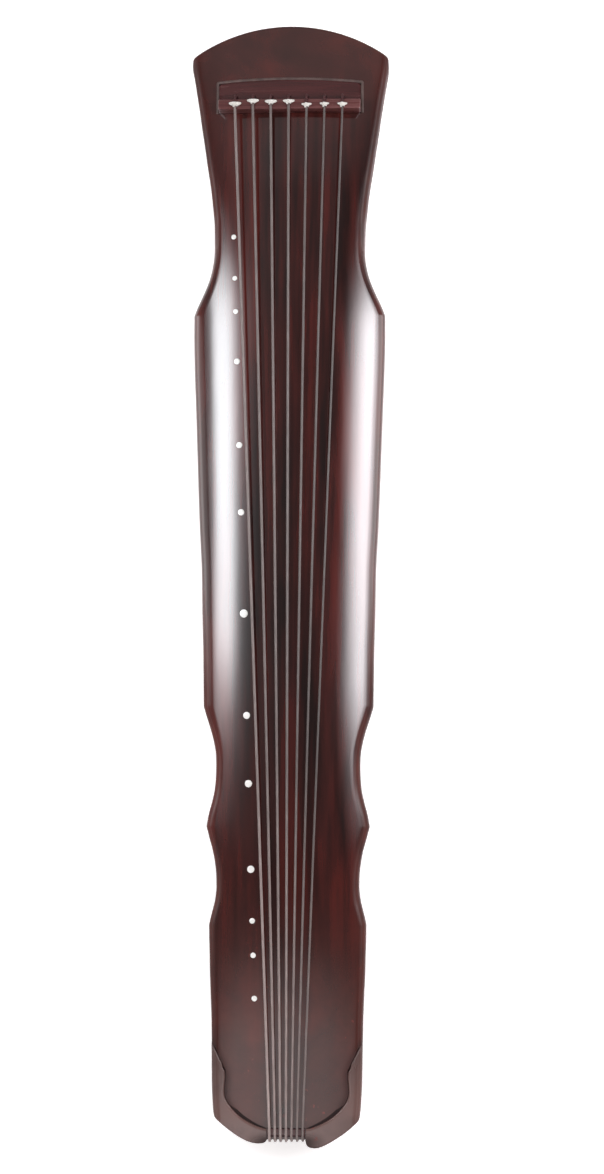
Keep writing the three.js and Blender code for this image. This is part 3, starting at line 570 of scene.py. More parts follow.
def wood(name, dark, mid, light, rough=0.28, coat=0.25, across="Y", scale=1.0, bump=0.2):
    """Close-grained hardwood, its grain along one axis."""
    s = {"X": (6, 170, 170), "Y": (170, 6, 170), "Z": (170, 170, 6)}[across]
    m = Nodes(name, rough=rough, spec=0.45, coat=coat, coat_rough=0.08)
    at = m.mapped(tuple(v * scale for v in s))
    grain = m.noise(1.0, at, detail=6, rough=0.62, distort=0.5)
    broad = m.noise(1.0, m.mapped(tuple(v * scale * 0.16 for v in s)), detail=3)
    m.color(m.ramp(m.math("ADD", m.math("MULTIPLY", grain, 0.6), m.math("MULTIPLY", broad, 0.4)), [(0.34, dark), (0.5, mid), (0.68, light)]))
    m.rough(m.range(grain, 0.3, 0.7, rough * 0.8, rough * 1.5))
    m.bump(grain, bump, 0.0006)
    return m.mat


LACQUER = lacquer("lacquer")
UNDER = lacquer("lacquer_underside", gloss=0.2, coat=0.2)
LIP = lacquer("lacquer_lip", gloss=0.13, dark=(0.026, 0.015, 0.0145), mid=(0.092, 0.053, 0.048), red=(0.118, 0.056, 0.047), coat=0.35, warmth=(0.020, 0.009, 0.007))
HARD_Y = wood("hardwood_y", (0.019, 0.0026, 0.0027), (0.036, 0.0050, 0.0053), (0.055, 0.0088, 0.0088), rough=0.2, across="Y", bump=0.1)
HARD_X = wood("hardwood_x", (0.012, 0.004, 0.0035), (0.030, 0.008, 0.007), (0.060, 0.016, 0.013), across="X")
HARD_Z = wood("hardwood_z", (0.014, 0.0045, 0.0035), (0.036, 0.010, 0.0075), (0.07, 0.02, 0.014), across="Z")
BRIDGE = wood("bridge_wood", (0.036, 0.0090, 0.0090), (0.076, 0.0205, 0.0195), (0.122, 0.039, 0.037), rough=0.26, coat=0.2, across="Y")
PEGW = wood("peg_wood", (0.012, 0.0035, 0.003), (0.034, 0.0085, 0.0068), (0.065, 0.017, 0.012), rough=0.22, coat=0.4, across="Z")
RAW = wood("raw_wood", (0.17, 0.092, 0.044), (0.26, 0.155, 0.08), (0.36, 0.235, 0.13), rough=0.62, coat=0.0, across="X", scale=0.5)


def shell_material():
    m = Nodes("shell", rough=0.16, spec=0.6, coat=0.6, coat_rough=0.03)
    lustre = m.noise(1.0, m.mapped((420, 260, 300)), detail=4, distort=1.2)
    m.color(m.ramp(lustre, [(0.30, (0.54, 0.57, 0.54)), (0.45, (0.70, 0.69, 0.66)), (0.57, (0.74, 0.72, 0.69)), (0.70, (0.62, 0.66, 0.68))]))
    m.rough(m.range(lustre, 0.3, 0.7, 0.1, 0.26))
    m.bump(lustre, 0.08, 0.0004)
    return m.mat


def string_material(name, k, tail_light_gain):
    """Smooth wound string, painted paler towards the tail as painted light, where the lamps light it less."""
    m = Nodes(name, rough=0.38, metal=0.0, spec=0.42, coat=0.15, coat_rough=0.2)
    n = m.noise(1.0, m.mapped((60, 900, 900)), detail=3)
    base = m.ramp(n, [(0.3, (0.096 * k, 0.074 * k, 0.070 * k)), (0.55, (0.134 * k, 0.104 * k, 0.098 * k)), (0.75, (0.178 * k, 0.142 * k, 0.134 * k))])
    # painted light: the colour is raised towards the tail, where the soft boxes fall off
    wear_and_painted_light = m.range(m.xyz()["X"], -0.20, -0.50, 1.0, tail_light_gain)
    m.color(m.mix(1.0, base, wear_and_painted_light, "MULTIPLY"))
    m.bump(m.wave(1600, direction="X"), 0.12, 0.0001)
    return m.mat


def silk_material(name, dark, mid, light, sheen=0.3):
    m = Nodes(name, rough=0.62, spec=0.35, sheen=sheen)
    fibre = m.noise(1.0, m.mapped((900, 900, 900)), detail=4)
    m.color(m.ramp(fibre, [(0.3, dark), (0.5, mid), (0.7, light)]))
    m.rough(m.range(fibre, 0.3, 0.7, 0.5, 0.75))
    m.bump(fibre, 0.25, 0.0002)
    return m.mat


SHELL = shell_material()
# each string's second number sets how much painted light brightens it at the tail
STRINGS = [string_material("string_%d" % (i + 1), k, tail_light_gain) for i, (k, tail_light_gain) in enumerate(((1.10, 2.0), (0.86, 2.15), (0.84, 2.15), (0.74, 2.4), (0.60, 2.6), (0.49, 2.5), (0.40, 2.75)))]
WHITE = silk_material("silk_white", (0.42, 0.40, 0.365), (0.54, 0.52, 0.485), (0.63, 0.615, 0.58))
RED = silk_material("silk_dark_red", (0.026, 0.005, 0.006), (0.044, 0.009, 0.010), (0.066, 0.014, 0.014), sheen=0.03)


def edging_material():
    m = Nodes("edging", rough=0.42, spec=0.4, coat=0.1, coat_rough=0.15)
    n = m.noise(1.0, m.mapped((120, 120, 120)), detail=5)
    m.color(m.ramp(n, [(0.3, (0.040, 0.023, 0.020)), (0.5, (0.062, 0.037, 0.033)), (0.7, (0.086, 0.055, 0.049))]))
    m.bump(n, 0.12, 0.0003)
    return m.mat


EDGING = edging_material()

# ------------------------------------------------------------------- soundboard
roll = [ROLL * (1 - math.sin(a)) for a in np.linspace(math.pi / 2, 0, 10)][:-1]      # from the side inwards
inner = sorted(set([round(v, 4) for v in np.linspace(0, 1, 22)] + [20.45 / 69.3, 20.8 / 69.3, 21.6 / 69.3, 22.6 / 69.3, 24.0 / 69.3, 26.0 / 69.3, 28 / 69.3, 31 / 69.3]))


def columns(w):
    right = [-(w - d) for d in roll] + [-(w - ROLL) * f for f in reversed(inner)]
    return np.array(right + [-v for v in reversed(right[:-1])])


def end_rows(radius, extra):
    """Distances from the end at which the rounded end edge is sampled."""
    return [extra] + [radius * (1 - math.sin(a)) for a in np.linspace(0, math.pi / 2, 8)]


def edge_drop(d, radius):
    e = np.clip(radius - d, 0, radius)
    return radius - np.sqrt(radius ** 2 - e ** 2)


R_HEAD, R_TAIL = 3.0, 2.6
rows = []
for d in reversed(end_rows(R_TAIL, 5.0)):
    y = columns(float(W(-581)))
    rows.append(np.stack([tail_x(y) + d, y, surf(tail_x(y) + d, y) - edge_drop(d, R_TAIL)], 1))
for t in np.linspace(0, 1, 8)[1:-1]:
    y = columns(float(W(-581 + 26 * t)))
    x = (tail_x(y) + 5.0) * (1 - t) + -555 * t
    rows.append(np.stack([x, y, surf(x, y)], 1))
body_x = sorted(set(np.round(np.arange(-555, 560.1, 3.5), 2)) | {round(c + k, 2) for c in CORNERS for k in (-2.4, -1.4, -0.7, 0, 0.7, 1.4, 2.4)})
for x0 in body_x:
    y = columns(float(W(x0)))
    x = np.full(len(y), x0)
    rows.append(np.stack([x, y, surf(x, y)], 1))
for t in np.linspace(0, 1, 10)[1:-1]:
    y = columns(float(W(559 + 23 * t)))
    x = 558.5 * (1 - t) + (head_x(y) - 7.0) * t
    rows.append(np.stack([x, y, surf(x, y)], 1))
for d in end_rows(R_HEAD, 7.0):
    y = columns(float(W(582)))
    rows.append(np.stack([head_x(y) - d, y, surf(head_x(y) - d, y) - edge_drop(d, R_HEAD)], 1))
rows = np.array(rows)
NR, NC = rows.shape[:2]
top = rows.reshape(-1, 3)
loop = [j for j in range(NC)] + [i * NC + NC - 1 for i in range(1, NR)] + [(NR - 1) * NC + j for j in range(NC - 2, -1, -1)] + [i * NC for i in range(NR - 2, 0, -1)]
low = [(top[i][0], top[i][1], BACK_TOP) for i in loop]
n0, nl = len(top), len(loop)
faces = grid_faces(NR, NC)
faces += [(loop[k], loop[(k + 1) % nl], n0 + (k + 1) % nl, n0 + k) for k in range(nl)]
faces.append(tuple(n0 + k for k in range(nl)))
board = make("soundboard_shell", list(top) + low, faces, LACQUER)
BODY_LOOP = np.array([top[i][:2] for i in loop])


def solid_between(name, xs, half, z_top, z_low, cols=9):
    """A closed block over a grid, for cutting."""
    us = np.linspace(-1, 1, cols)
    upper = [[(x, u * half(x), z_top(x, u * half(x))) for u in us] for x in xs]
    lower = [[(x, u * half(x), z_low) for u in us] for x in xs]
    v = [p for r in upper for p in r] + [p for r in lower for p in r]
    n, c, b = len(xs), cols, len(xs) * cols
    f = grid_faces(n, c) + grid_faces(n, c, base=b)
    edge = [j for j in range(c)] + [i * c + c - 1 for i in range(1, n)] + [(n - 1) * c + j for j in range(c - 2, -1, -1)] + [i * c for i in range(n - 2, 0, -1)]
    f += [(edge[k], edge[(k + 1) % len(edge)], b + edge[(k + 1) % len(edge)], b + edge[k]) for k in range(len(edge))]
    return make(name, v, f)


def swell(x, y, pool):
    """The thicker pad of the soundboard over a sound hole."""
    a = np.clip(min(x - (pool[0] - 14), (pool[1] + 14) - x) / 16, 0, 1)
    b = np.clip((26 - abs(y)) / 10, 0, 1)
    return 3.2 * (a * a * (3 - 2 * a)) * (b * b * (3 - 2 * b))


hollow = solid_between("hollow", np.arange(-498, 400.1, 6.0), lambda x: float(W(x)) - 17,
                       lambda x, y: float(surf(x, y * 0.98)) - 9.5 - swell(x, y, DRAGON_POOL) - swell(x, y, PHOENIX_POOL), 30, cols=21)


def plate_outline(x0, grow, n=36):
    """The dew collector's outline: square at the bridge, gently arched at the head, corners rounded."""
    y1 = SEAT_Y + grow
    arch = [(SEAT_X[1] + grow + 3.0 * (1 - (y / SEAT_Y) ** 2), y) for y in np.linspace(-y1, y1, n)]
    pts = [(x0, -y1)] + arch + [(x0, y1)]
    r = [0] + [2.6 + grow * 0.8] + [0] * (n - 2) + [2.6 + grow * 0.8] + [0]
    return rounded(pts, r, 6)


SEAT_Z = float(surf(540, SEAT_Y)) - 4.2
pocket = plate("pocket", plate_outline(SEAT_X[0] - GAP, 0.5), SEAT_Z, 130)
slot_cut = plate("slot", rect(-640, NUT_X + 1.2, -NUT_Y - 0.25, NUT_Y + 0.25), 54, 130)
gum_cut = plate("gum_slot", rect(-640, NUT_X + 4.5, -NUT_Y - 0.25, NUT_Y + 0.25), 20, 54.2)


def rods(name, radius, z0, z1, places, sides=24):
    """Upright rods in one mesh."""
    v, f = [], []
    for x, y in places:
        b = len(v)
        v += [(x + radius * math.cos(2 * math.pi * k / sides), y + radius * math.sin(2 * math.pi * k / sides), z) for z in (z0, z1) for k in range(sides)]
        f += grid_faces(2, sides, closed=True, base=b) + [tuple(b + k for k in range(sides)), tuple(b + sides + k for k in range(sides))]
    return make(name, v, f)


# seat of the peg pool board in the underside, and the cords' ways down to the pegs
pool_seat = plate("pool_seat", rect(POOL[0], POOL[1], -POOL[2], POOL[2]), 20, BACK_TOP + GAP + 5.7)
cord_ways = rods("cord_ways", CORD_HOLE_R, 20, 110, [(PEG_X, y) for y in Y_BRIDGE])

# raised corners of the tail: inner and outer borders, matched point by point
CROWN_IN = [(-501.5, 80.6), (-506, 78.0), (-511, 75.2), (-517, 72.3), (-522, 69.6), (-527.0, 68.4), (-530.5, 66.4), (-537, 65.9), (-543, 66.4),
            (-552, 66.9), (-558, 66.0), (-563, 63.9), (-569.2, 59.3), (-574, 54.8), (-579, 48.9), (-584, 40.6), (-588, 31.8), (-590.2, 24.8), (-590.6, 21.2)]
NT = 150


def along(p):
    s = np.concatenate([[0], np.cumsum(np.linalg.norm(np.diff(p, axis=0), axis=1))])
    return s / s[-1]


def at(p, s, t):
    return np.stack([np.interp(t, s, p[:, 0]), np.interp(t, s, p[:, 1])], -1)


def nearest(p, s, q):
    return s[int(np.argmin(np.linalg.norm(p - np.array(q), axis=1)))]


def crown_lines(sign):
    """Inner and outer border of one corner, point by point, as if on the marker side."""
    ci = spline([(x, y, 0) for x, y in CROWN_IN], 0.8)[:, :2]
    co = np.array([(x, float(W(x))) for x in np.arange(-500.0, -572, -0.8)] + [(float(tail_x(sign * y)), y) for y in np.arange(78.2, 21.0, -0.3)] + [(-602.3, 20.9)])
    tip = float(tail_x(sign * 31))
    keys = [((-501.5, 80.6), (-500, 81.2)), ((-530.5, 66.4), (-535, 80.7)), ((-556, 66.5), (-565, 79.6)), ((-566, 61.8), (float(tail_x(sign * 76.5)), 76.5)),
            ((-579, 48.9), (float(tail_x(sign * 55.5)), 55.5)), ((-588, 31.8), (float(tail_x(sign * 36)), 36)), ((-590.6, 21.2), (-602.3, 20.9))]
    si, so = along(ci), along(co)
    ki = [nearest(ci, si, a) for a, _ in keys]
    ko = [nearest(co, so, b) for _, b in keys]
    tt, kk = np.linspace(0, 1, NT), np.linspace(0, 1, len(keys))
    return at(ci, si, np.interp(tt, kk, ki)), at(co, so, np.interp(tt, kk, ko))


CROWN = {sign: crown_lines(sign) for sign in (1, -1)}


def groove(x, y):
    """Width of the gap beside the corner's inner border: hairline, wide towards the notch and where the band has its steps."""
    return 0.4 + 3.5 * np.clip((y - 21.0) / 4, 0, 1) * np.clip((61.5 - y) / 7, 0, 1) ** 0.8 * (0.42 + 0.58 * np.clip((y - 26) / 24, 0, 1)) + 1.2 * math.exp(-((x + 505.5) / 4.5) ** 2) + 1.2 * math.exp(-((x + 528) / 3.5) ** 2)


def crown_cutter(sign):
    v, n = [], NT
    inner_pts, outer_pts = CROWN[sign]
    for k in range(NT):
        a, b = inner_pts[k], outer_pts[k]
        d = b - a
        l = np.linalg.norm(d)
        d = d / l
        p, q = a - d * min(groove(*a), l), b + d * 9
        low = float(surf(b[0], min(b[1], float(W(max(b[0], -583)))))) - 2.0
        for (x, y), up in ((p, 8), (q, 30), (q, -1.5), (p, -1.5)):
            z = float(surf(max(x, -611), min(abs(y), float(W(max(x, -583)))))) + up
            v.append((x, y * sign, max(z, low)))
    f = grid_faces(n, 4, closed=True) + [(0, 1, 2, 3), tuple((n - 1) * 4 + i for i in range(4))]
    return make("crown_cut", v, f)


cut(board, hollow, pocket, pool_seat, cord_ways, slot_cut, gum_cut, crown_cutter(1), crown_cutter(-1))
mesh = board.data
mesh.materials.clear()
mesh.materials.append(LACQUER)
mesh.materials.append(RAW)
for p in mesh.polygons:
    c = p.center * 1000
    inside = abs(c.y) < float(W(c.x)) - 16.8 and -498.5 < c.x < 400.5 and BACK_TOP + 0.2 < c.z < float(surf(c.x, c.y)) - 6
    p.material_index = 1 if inside else 0
shade(board, 32)


def rim_attribute(obj, fn):
    mesh = obj.data
    a = mesh.attributes.new("rim", "FLOAT", "POINT")
    co = np.zeros(len(mesh.vertices) * 3)
    mesh.vertices.foreach_get("co", co)
    a.data.foreach_set("value", np.asarray(fn(co.reshape(-1, 3) * 1000), float))


def board_rim(p):
    x, y, z = p.T
    side = W(x) - np.abs(y)
    head = head_x(y) - x
    tail = x - tail_x(y)
    d = np.minimum(np.minimum(np.where(side < 0, 0, side), np.maximum(head, 0)), np.maximum(tail, 0))
    near = np.exp(-(d / 5.0) ** 2) * np.clip((z - 50) / 8, 0, 1)
    return np.clip(near * np.interp(x, [-450, -380, -140, 0, 420, 520], [0.22, 0.6, 0.6, 0.45, 0.4, 0.1]), 0, 1)


rim_attribute(board, board_rim)


# stores a per-vertex share of painted shade, which the lacquer turns near-black
def painted_shade_attribute(obj, fn):
    mesh = obj.data
    a = mesh.attributes.new("painted_shade", "FLOAT", "POINT")
    co = np.zeros(len(mesh.vertices) * 3)
    mesh.vertices.foreach_get("co", co)
    a.data.foreach_set("value", np.asarray(fn(co.reshape(-1, 3) * 1000), float))


def board_painted_shade(p):
    """Painted shade: dark in the grooves round the tail corners and on the board beside the corners' inner borders."""
    x, y, z = p.T
    depth = surf(x, np.minimum(np.abs(y), W(x))) - z
    near = np.zeros(len(x))
    for sign in (1, -1):
        q = np.array(CROWN[sign][0])
        pick = np.where((x < -490) & (y * sign > 15) & (z > 55))[0]
        for k in pick:
            d = np.min(np.hypot(q[:, 0] - x[k], q[:, 1] - y[k] * sign))
            near[k] = 0.5 * math.exp(-(d / 4.5) ** 2) * min(1.0, max(0.35, (abs(y[k]) - 40) / 22))
    return np.where((x < -490) & (np.abs(y) > 15) & (z > 55), np.maximum(near, np.where(x < -498, np.clip((depth - 0.3) / 0.9, 0, 0.8), 0)), 0)


painted_shade_attribute(board, board_painted_shade)
piece(board, "lacquer", "soundboard")

# ----------------------------------------------------------------- tail corners
for sign, side in ((1, "left"), (-1, "right")):
    verts, NV = [], 0
    inner_pts, outer_pts = CROWN[sign]
    for k in range(NT):
        a, b = inner_pts[k], outer_pts[k]
        l = np.linalg.norm(b - a)
        d = (b - a) / max(l, 1e-6)
        rise = 1.3 * min(1.0, l / 4.0)
        prof = []                       # distance from the inner border, height over the board
        for s, h in ((0.0, -1.5), (0.05, -0.2), (0.25, 0.35), (0.6, 0.85), (1.2, 1.2), (2.2, 1.38), (4.0, 1.34)):
            prof.append((min(s, l * 0.5), h * (rise / 1.3) if h > 0 else h))
        for f in np.linspace(0.2, 1, 9)[:-1]:
            prof.append((4.0 + (l - 4.0) * f if l > 6 else l * (0.5 + 0.45 * f), rise))
        for e in (2.5, 1.2, 0.5, 0.15, 0.0):
            prof.append((max(l - e, l * 0.96), rise * (1 - 0.25 * (1 - e / 2.5) ** 2)))
        row = []
        for s, h in prof:
            q = a + d * s
            w = float(W(max(q[0], -583)))
            row.append((q[0], q[1], float(surf(q[0], min(q[1], w))) + h))
        # over the edge and a little way down the side
        nx, ny = d
        e0 = row[-1]
        for out, dn in ((0.18, 0.25), (0.3, 0.8), (0.32, 2.0), (0.3, 4.2), (0.1, 4.6), (-1.5, 4.7)):
            row.append((e0[0] + nx * out, e0[1] + ny * out, e0[2] - dn))
        row.append((a[0] + nx * 0.3, a[1] + ny * 0.3, row[0][2] - 0.1))
        NV = len(row)
        verts += [(x, y * sign, z) for x, y, z in row]
    f = grid_faces(NT, NV, closed=True) + [tuple(range(NV)), tuple((NT - 1) * NV + i for i in range(NV))]
    crown = make("crown_corner_%s_band" % side, verts, f, LIP, 50)
    rim_attribute(crown, lambda p: np.clip(0.12 * np.exp(-((W(p[:, 0]) - np.abs(p[:, 1])) / 3.0) ** 2), 0, 1))
    # painted shade on the band: darker towards its tail end beside the notch and towards its head end
    painted_shade_attribute(crown, lambda p: np.clip((44 - np.abs(p[:, 1])) / 20, 0, 1) * np.clip((-594 - p[:, 0]) / 9, 0, 1) * 0.72 + 0.30 * np.clip((p[:, 0] + 560) / 40, 0, 1))
    piece(crown, "lacquer_lip", "crown_corner_" + side)

# ------------------------------------------------------------------- back board
def back_outline():
    pts = [tuple(p) for p in BODY_LOOP]
    out = []
    for x, y in pts:
        if x < -595 and abs(y) < 20.5:
            continue
        out.append((x, y))
    # the loop starts at the tail's -Y corner and runs along the tail towards +Y
    i = max(k for k, (x, y) in enumerate(out) if x < -595 and y < 0 and k < len(out) // 2)
    return out[:i + 1] + [(-602.5, -20.5), (-586.5, -20.5), (-586.5, 20.5), (-602.5, 20.5)] + out[i + 1:]


back = plate("back_board_shell", back_outline(), FOOT_H, BACK_TOP, UNDER, r0=1.3, steps=3)
cutters = []
for nm, pool in (("a", DRAGON_POOL), ("b", PHOENIX_POOL)):
    cutters.append(plate("pool_" + nm, stadium(*pool), 10, 60))
    cutters.append(plate("seat_" + nm, stadium(pool[0] - 4.25, pool[1] + 4.25, pool[2] + 4.25), 10, FOOT_H + 3.2))
cutters.append(plate("peg_pool", rounded(rect(POOL[0] - 1, POOL[1] + 1, -POOL[2], POOL[2]), 3, 5), 10, 60))
for s in (1, -1):
    cutters.append(plate("socket", rounded(rect(FEET[0] - 17.25, FEET[0] + 17.25, s * FEET[1] - 15.25, s * FEET[1] + 15.25), 1.4, 3), 10, FOOT_H + 6.2))
REST_LEFT = [(-562, 75.5), (-576, 75), (-588, 60), (-595.5, 48.5), (-600, 39.5), (-602, 33), (-602.4, 27.5), (-600.5, 23.8), (-583.6, 23.8)]
REST_RIGHT = [(-562, 75.5), (-577.5, 75), (-591, 58.5), (-600, 44.5), (-604.8, 36.5), (-607, 30.5), (-606.4, 26), (-602.5, 23.8), (-583.6, 23.8)]
REST = rounded(REST_LEFT + [(x, -y) for x, y in reversed(REST_RIGHT)], [1.5, 2, 4, 6, 5, 3, 2, 1, 1.5, 1.5, 1, 2, 3, 5, 6, 4, 2, 1.5], 4)
cutters.append(plate("rest", inset(REST, -0.25), 10, FOOT_H + 2.7))
close_slits(cut(back, *cutters))
mesh = back.data
mesh.materials.clear()
mesh.materials.append(UNDER)
mesh.materials.append(RAW)
for p in mesh.polygons:
    c = p.center * 1000
    p.material_index = 1 if c.z > BACK_TOP - 0.05 else 0
shade(back, 32)


def back_rim(p):
    x, y, z = p.T
    d = np.minimum(np.minimum(np.maximum(W(x) - np.abs(y), 0), np.maximum(head_x(y) - x, 0)), np.maximum(x - tail_x(y), 0))
    return np.clip(0.7 * np.exp(-(d / 3.0) ** 2) * np.clip((36 - z) / 6, 0, 1), 0, 1)


rim_attribute(back, back_rim)
piece(back, "lacquer_underside", "back_board")

piece(even(plate("tail_rest_plate", REST, FOOT_H - 0.2, FOOT_H + 2.5, HARD_Y, r0=0.7)), "hardwood", "tail_rest")
for nm, pool in (("dragon_pool", DRAGON_POOL), ("phoenix_pool", PHOENIX_POOL)):
    n = 28
    rings = []
    for grow, z in ((4.0, 33.0), (4.0, 30.1), (3.7, 29.65), (3.0, 29.45), (1.0, 29.45), (0.2, 29.55), (-0.35, 29.9), (-0.6, 30.6), (-0.6, 33.0)):
        rings.append([(x, y, z) for x, y in stadium(pool[0] - grow, pool[1] + grow, pool[2] + grow, n)])
    v = [p for r in rings for p in r]
    f = grid_faces(len(rings), 2 * n, closed=True)
    f += [(j, (j + 1) % (2 * n), (len(rings) - 1) * 2 * n + (j + 1) % (2 * n), (len(rings) - 1) * 2 * n + j) for j in range(2 * n)]
    piece(make(nm + "_rim", v, f, HARD_X, 50), "hardwood", nm + "_ring")

# ------------------------------------------------------- posts, sockets and feet
for n in ("heaven_post", "earth_post"):
    NODES[n].data.materials.clear()
    NODES[n].data.materials.append(RAW)
    bevelled(NODES[n], 0.6)
    shade(NODES[n], 30)
for n, m in (("peg_pool_board", HARD_Y),):
    NODES[n].data.materials.clear()
    NODES[n].data.materials.append(m)
    shade(NODES[n], 30)

for s, side in ((1, "left"), (-1, "right")):
    y = s * FEET[1]
    socket = plate("foot_socket_%s_collar" % side, rounded(rect(FEET[0] - 17, FEET[0] + 17, y - 15, y + 15), 1.2, 3), FOOT_H - 0.15, FOOT_H + 6, HARD_X, r0=0.6)
    piece(even(socket), "hardwood", "foot_socket_" + side)
    prof = [(0.01, 0.0), (9.5, 0.0), (11.2, 0.25), (12.1, 1.0), (12.55, 2.2), (12.6, 4.2), (12.45, 5.8), (11.9, 7.2), (11.3, 8.2), (10.9, 8.5), (11.1, 8.9),
            (10.6, 9.6), (9.7, 10.3), (9.2, 11.2), (9.0, 12.6), (8.95, 18), (9.0, 25.4), (9.3, 26.8), (10.2, 27.9), (11.2, 28.5), (11.7, 28.9), (11.8, 29.4), (11.6, 29.85), (0.01, 29.85)]
    piece(lathe("goose_foot_%s_turned" % side, prof, FEET[0], y, 72, HARD_Z), "hardwood", "goose_foot_" + side)

GUARD = [(499, 29.9), (501.5, 27.0), (503.0, 24), (505.4, 19.5), (509.0, 14.6), (511.6, 10), (513.0, 5.4), (514.0, 2.2), (516.6, 0), (544.4, 0), (547.4, 2.4), (549.2, 6.0),
         (551.0, 10.4), (554.4, 15.0), (559.4, 19.8), (562.4, 24.2), (564.2, 27), (567, 29.9)]
guard_curve = spline([(x, z, 0) for x, z in GUARD], 1.2)[:, :2]
flat_low = [tuple(q) for q in guard_curve]
flat_low = [(x, max(z, 0.0)) for x, z in flat_low]


def guard_inset(points, d):
    """Moves the leg's outline inwards, but leaves its top edge at the board's height."""
    q, top, n = inset(points, d), 29.9, len(points)
    for order in (range(n), range(n - 1, -1, -1)):
        order = list(order)
        k = next(i for i in range(1, n) if q[order[i]][1] <= top - 1e-6)
        a, b = q[order[k]], q[order[k + 1]]
        x = a[0] + (top - a[1]) * (b[0] - a[0]) / (b[1] - a[1])
        for i in order[:k]:
            q[i] = (x, top)
    return q


for s, side in ((1, "left"), (-1, "right")):
    y0, y1 = (79.5, 91.5) if s > 0 else (-91.5, -79.5)
    g = plate("peg_guard_%s_leg" % side, flat_low, y0, y1, HARD_X, r0=1.6, r1=1.6, place=lambda a, b, c: (a, c, b), steps=5, shrink=guard_inset)
    piece(even(g), "hardwood", "peg_guard_" + side)

# tongue in the head's end
tongue = [(17 * math.cos(a), 50 + 13 * math.sin(a)) for a in np.linspace(0, math.pi, 28)] + [(-17, 36), (17, 36)]
tongue = rounded(tongue, [0] * 28 + [1.5, 1.5], 4)
piece(even(plate("phoenix_tongue_plate", tongue, HEAD_X - 10, HEAD_X + 0.3, HARD_Z, r1=0.9,
                 place=lambda a, b, c: (c - (HEAD_X - float(head_x(a))), a, b))), "hardwood", "phoenix_tongue")

# ---------------------------------------------------- bridge and dew collector
TOP0 = Z_BRIDGE - STRING_R[0] + 0.05
profile = rounded([(514.7, SEAT_Z + GAP), (528.9, SEAT_Z + GAP), (528.9, 77.0), (527.2, 85.4), (525.5, 88.8), (516.2, TOP0 + 0.02), (514.7, TOP0 - 0.3)],
                  [0, 0, 4, 4, 2.2, 1.6, 0.5], 6)
ys = sorted(set([round(float(v), 3) for v in np.linspace(-SEAT_Y + 1.6, SEAT_Y - 1.6, 46)] + [round(y + k, 3) for y, r in zip(Y_BRIDGE, STRING_R) for k in (-2.0, -1.2, -0.85, -0.5, -0.2, 0.2, 0.5, 0.85, 1.2, 2.0)]))
stations = [(-SEAT_Y, 1.3), (-SEAT_Y + 0.15, 0.75), (-SEAT_Y + 0.55, 0.28), (-SEAT_Y + 1.1, 0.05)] + [(y, 0.0) for y in ys] + \
           [(SEAT_Y - 1.1, 0.05), (SEAT_Y - 0.55, 0.28), (SEAT_Y - 0.15, 0.75), (SEAT_Y, 1.3)]
verts = []
for y, ins in stations:
    ring = inset(profile, ins) if ins else np.array(profile)
    for x, z in ring:
        if z > 88:
            for ys_, r in zip(Y_BRIDGE, STRING_R):
                g = max(0.0, 1 - abs((y - ys_) / (1.45 * r + 0.4)) ** 2)
                z -= 0.42 * g * (1.0 if x < 518.5 else 0.35)
        verts.append((x, y, z))
n = len(profile)
faces = grid_faces(len(stations), n, closed=True) + [tuple(range(n)), tuple((len(stations) - 1) * n + k for k in range(n))]
piece(make("bridge_ridge", verts, faces, BRIDGE, 40), "bridge_wood", "bridge")

# plate behind the bridge
po = [q for q in plate_outline(529.2, 0.0, 60)]
cols = 81
us = np.linspace(-1, 1, cols)
corner = 2.6


def plate_end(y):
    e = np.clip(abs(y) - (SEAT_Y - corner), 0, corner)
    return SEAT_X[1] + 3.0 * (1 - (y / SEAT_Y) ** 2) - (corner - math.sqrt(corner ** 2 - e ** 2))


NX = 16
top_rows = []
for i in range(NX):
    t = i / (NX - 1)
    row = []
    for u in us:
        y = u * SEAT_Y
        x = 529.2 + (plate_end(y) - 529.2) * t
        edge = min(plate_end(y) - x, SEAT_Y - abs(y) + 0.0)
        row.append((x, y, float(surf(x, y)) + 0.9 - 0.35 * max(0, 1 - edge / 1.0) ** 2))
    top_rows.append(row)
v = [p for r in top_rows for p in r] + [(x, y, SEAT_Z + GAP) for r in top_rows for x, y, z in r]
f = grid_faces(NX, cols) + grid_faces(NX, cols, base=NX * cols)
edge = [j for j in range(cols)] + [i * cols + cols - 1 for i in range(1, NX)] + [(NX - 1) * cols + j for j in range(cols - 2, -1, -1)] + [i * cols for i in range(NX - 2, 0, -1)]
f += [(edge[k], edge[(k + 1) % len(edge)], NX * cols + edge[(k + 1) % len(edge)], NX * cols + edge[k]) for k in range(len(edge))]
dew = make("dew_collector_plate", v, f, HARD_Y)
cut(dew, *[lathe("hole", [(CORD_HOLE_R, 20), (CORD_HOLE_R, 110)], PEG_X, y, 24, None) for y in Y_BRIDGE])
dew.data.materials.clear()
dew.data.materials.append(HARD_Y)
shade(dew, 35)
piece(dew, "hardwood", "dew_collector")

# its pale bead, on three sides
EDGE_W = 3.0
mid = [(x, y) for x, y in plate_outline(SEAT_X[0] + 0.2, 0.2 + EDGE_W / 2, 60)]
sec = [(-EDGE_W / 2, -2.2), (-EDGE_W / 2, 0.35), (-EDGE_W * 0.42, 0.75), (-EDGE_W * 0.25, 1.0), (0, 1.1), (EDGE_W * 0.25, 1.0), (EDGE_W * 0.42, 0.75), (EDGE_W / 2, 0.3), (EDGE_W / 2, -2.2)]
p = np.array(mid)
tan = np.gradient(p, axis=0)
tan /= np.linalg.norm(tan, axis=1)[:, None]
out_n = np.stack([tan[:, 1], -tan[:, 0]], 1)
verts = []
for q, nn in zip(p, out_n):
    for o, h in sec:
        x, y = q + nn * o
        verts.append((x, y, float(surf(x, y)) + h))
faces = grid_faces(len(p), len(sec), closed=True) + [tuple(range(len(sec))), tuple((len(p) - 1) * len(sec) + k for k in range(len(sec)))]
piece(make("dew_collector_bead", verts, faces, EDGING, 60), "edging", "dew_collector_edging")

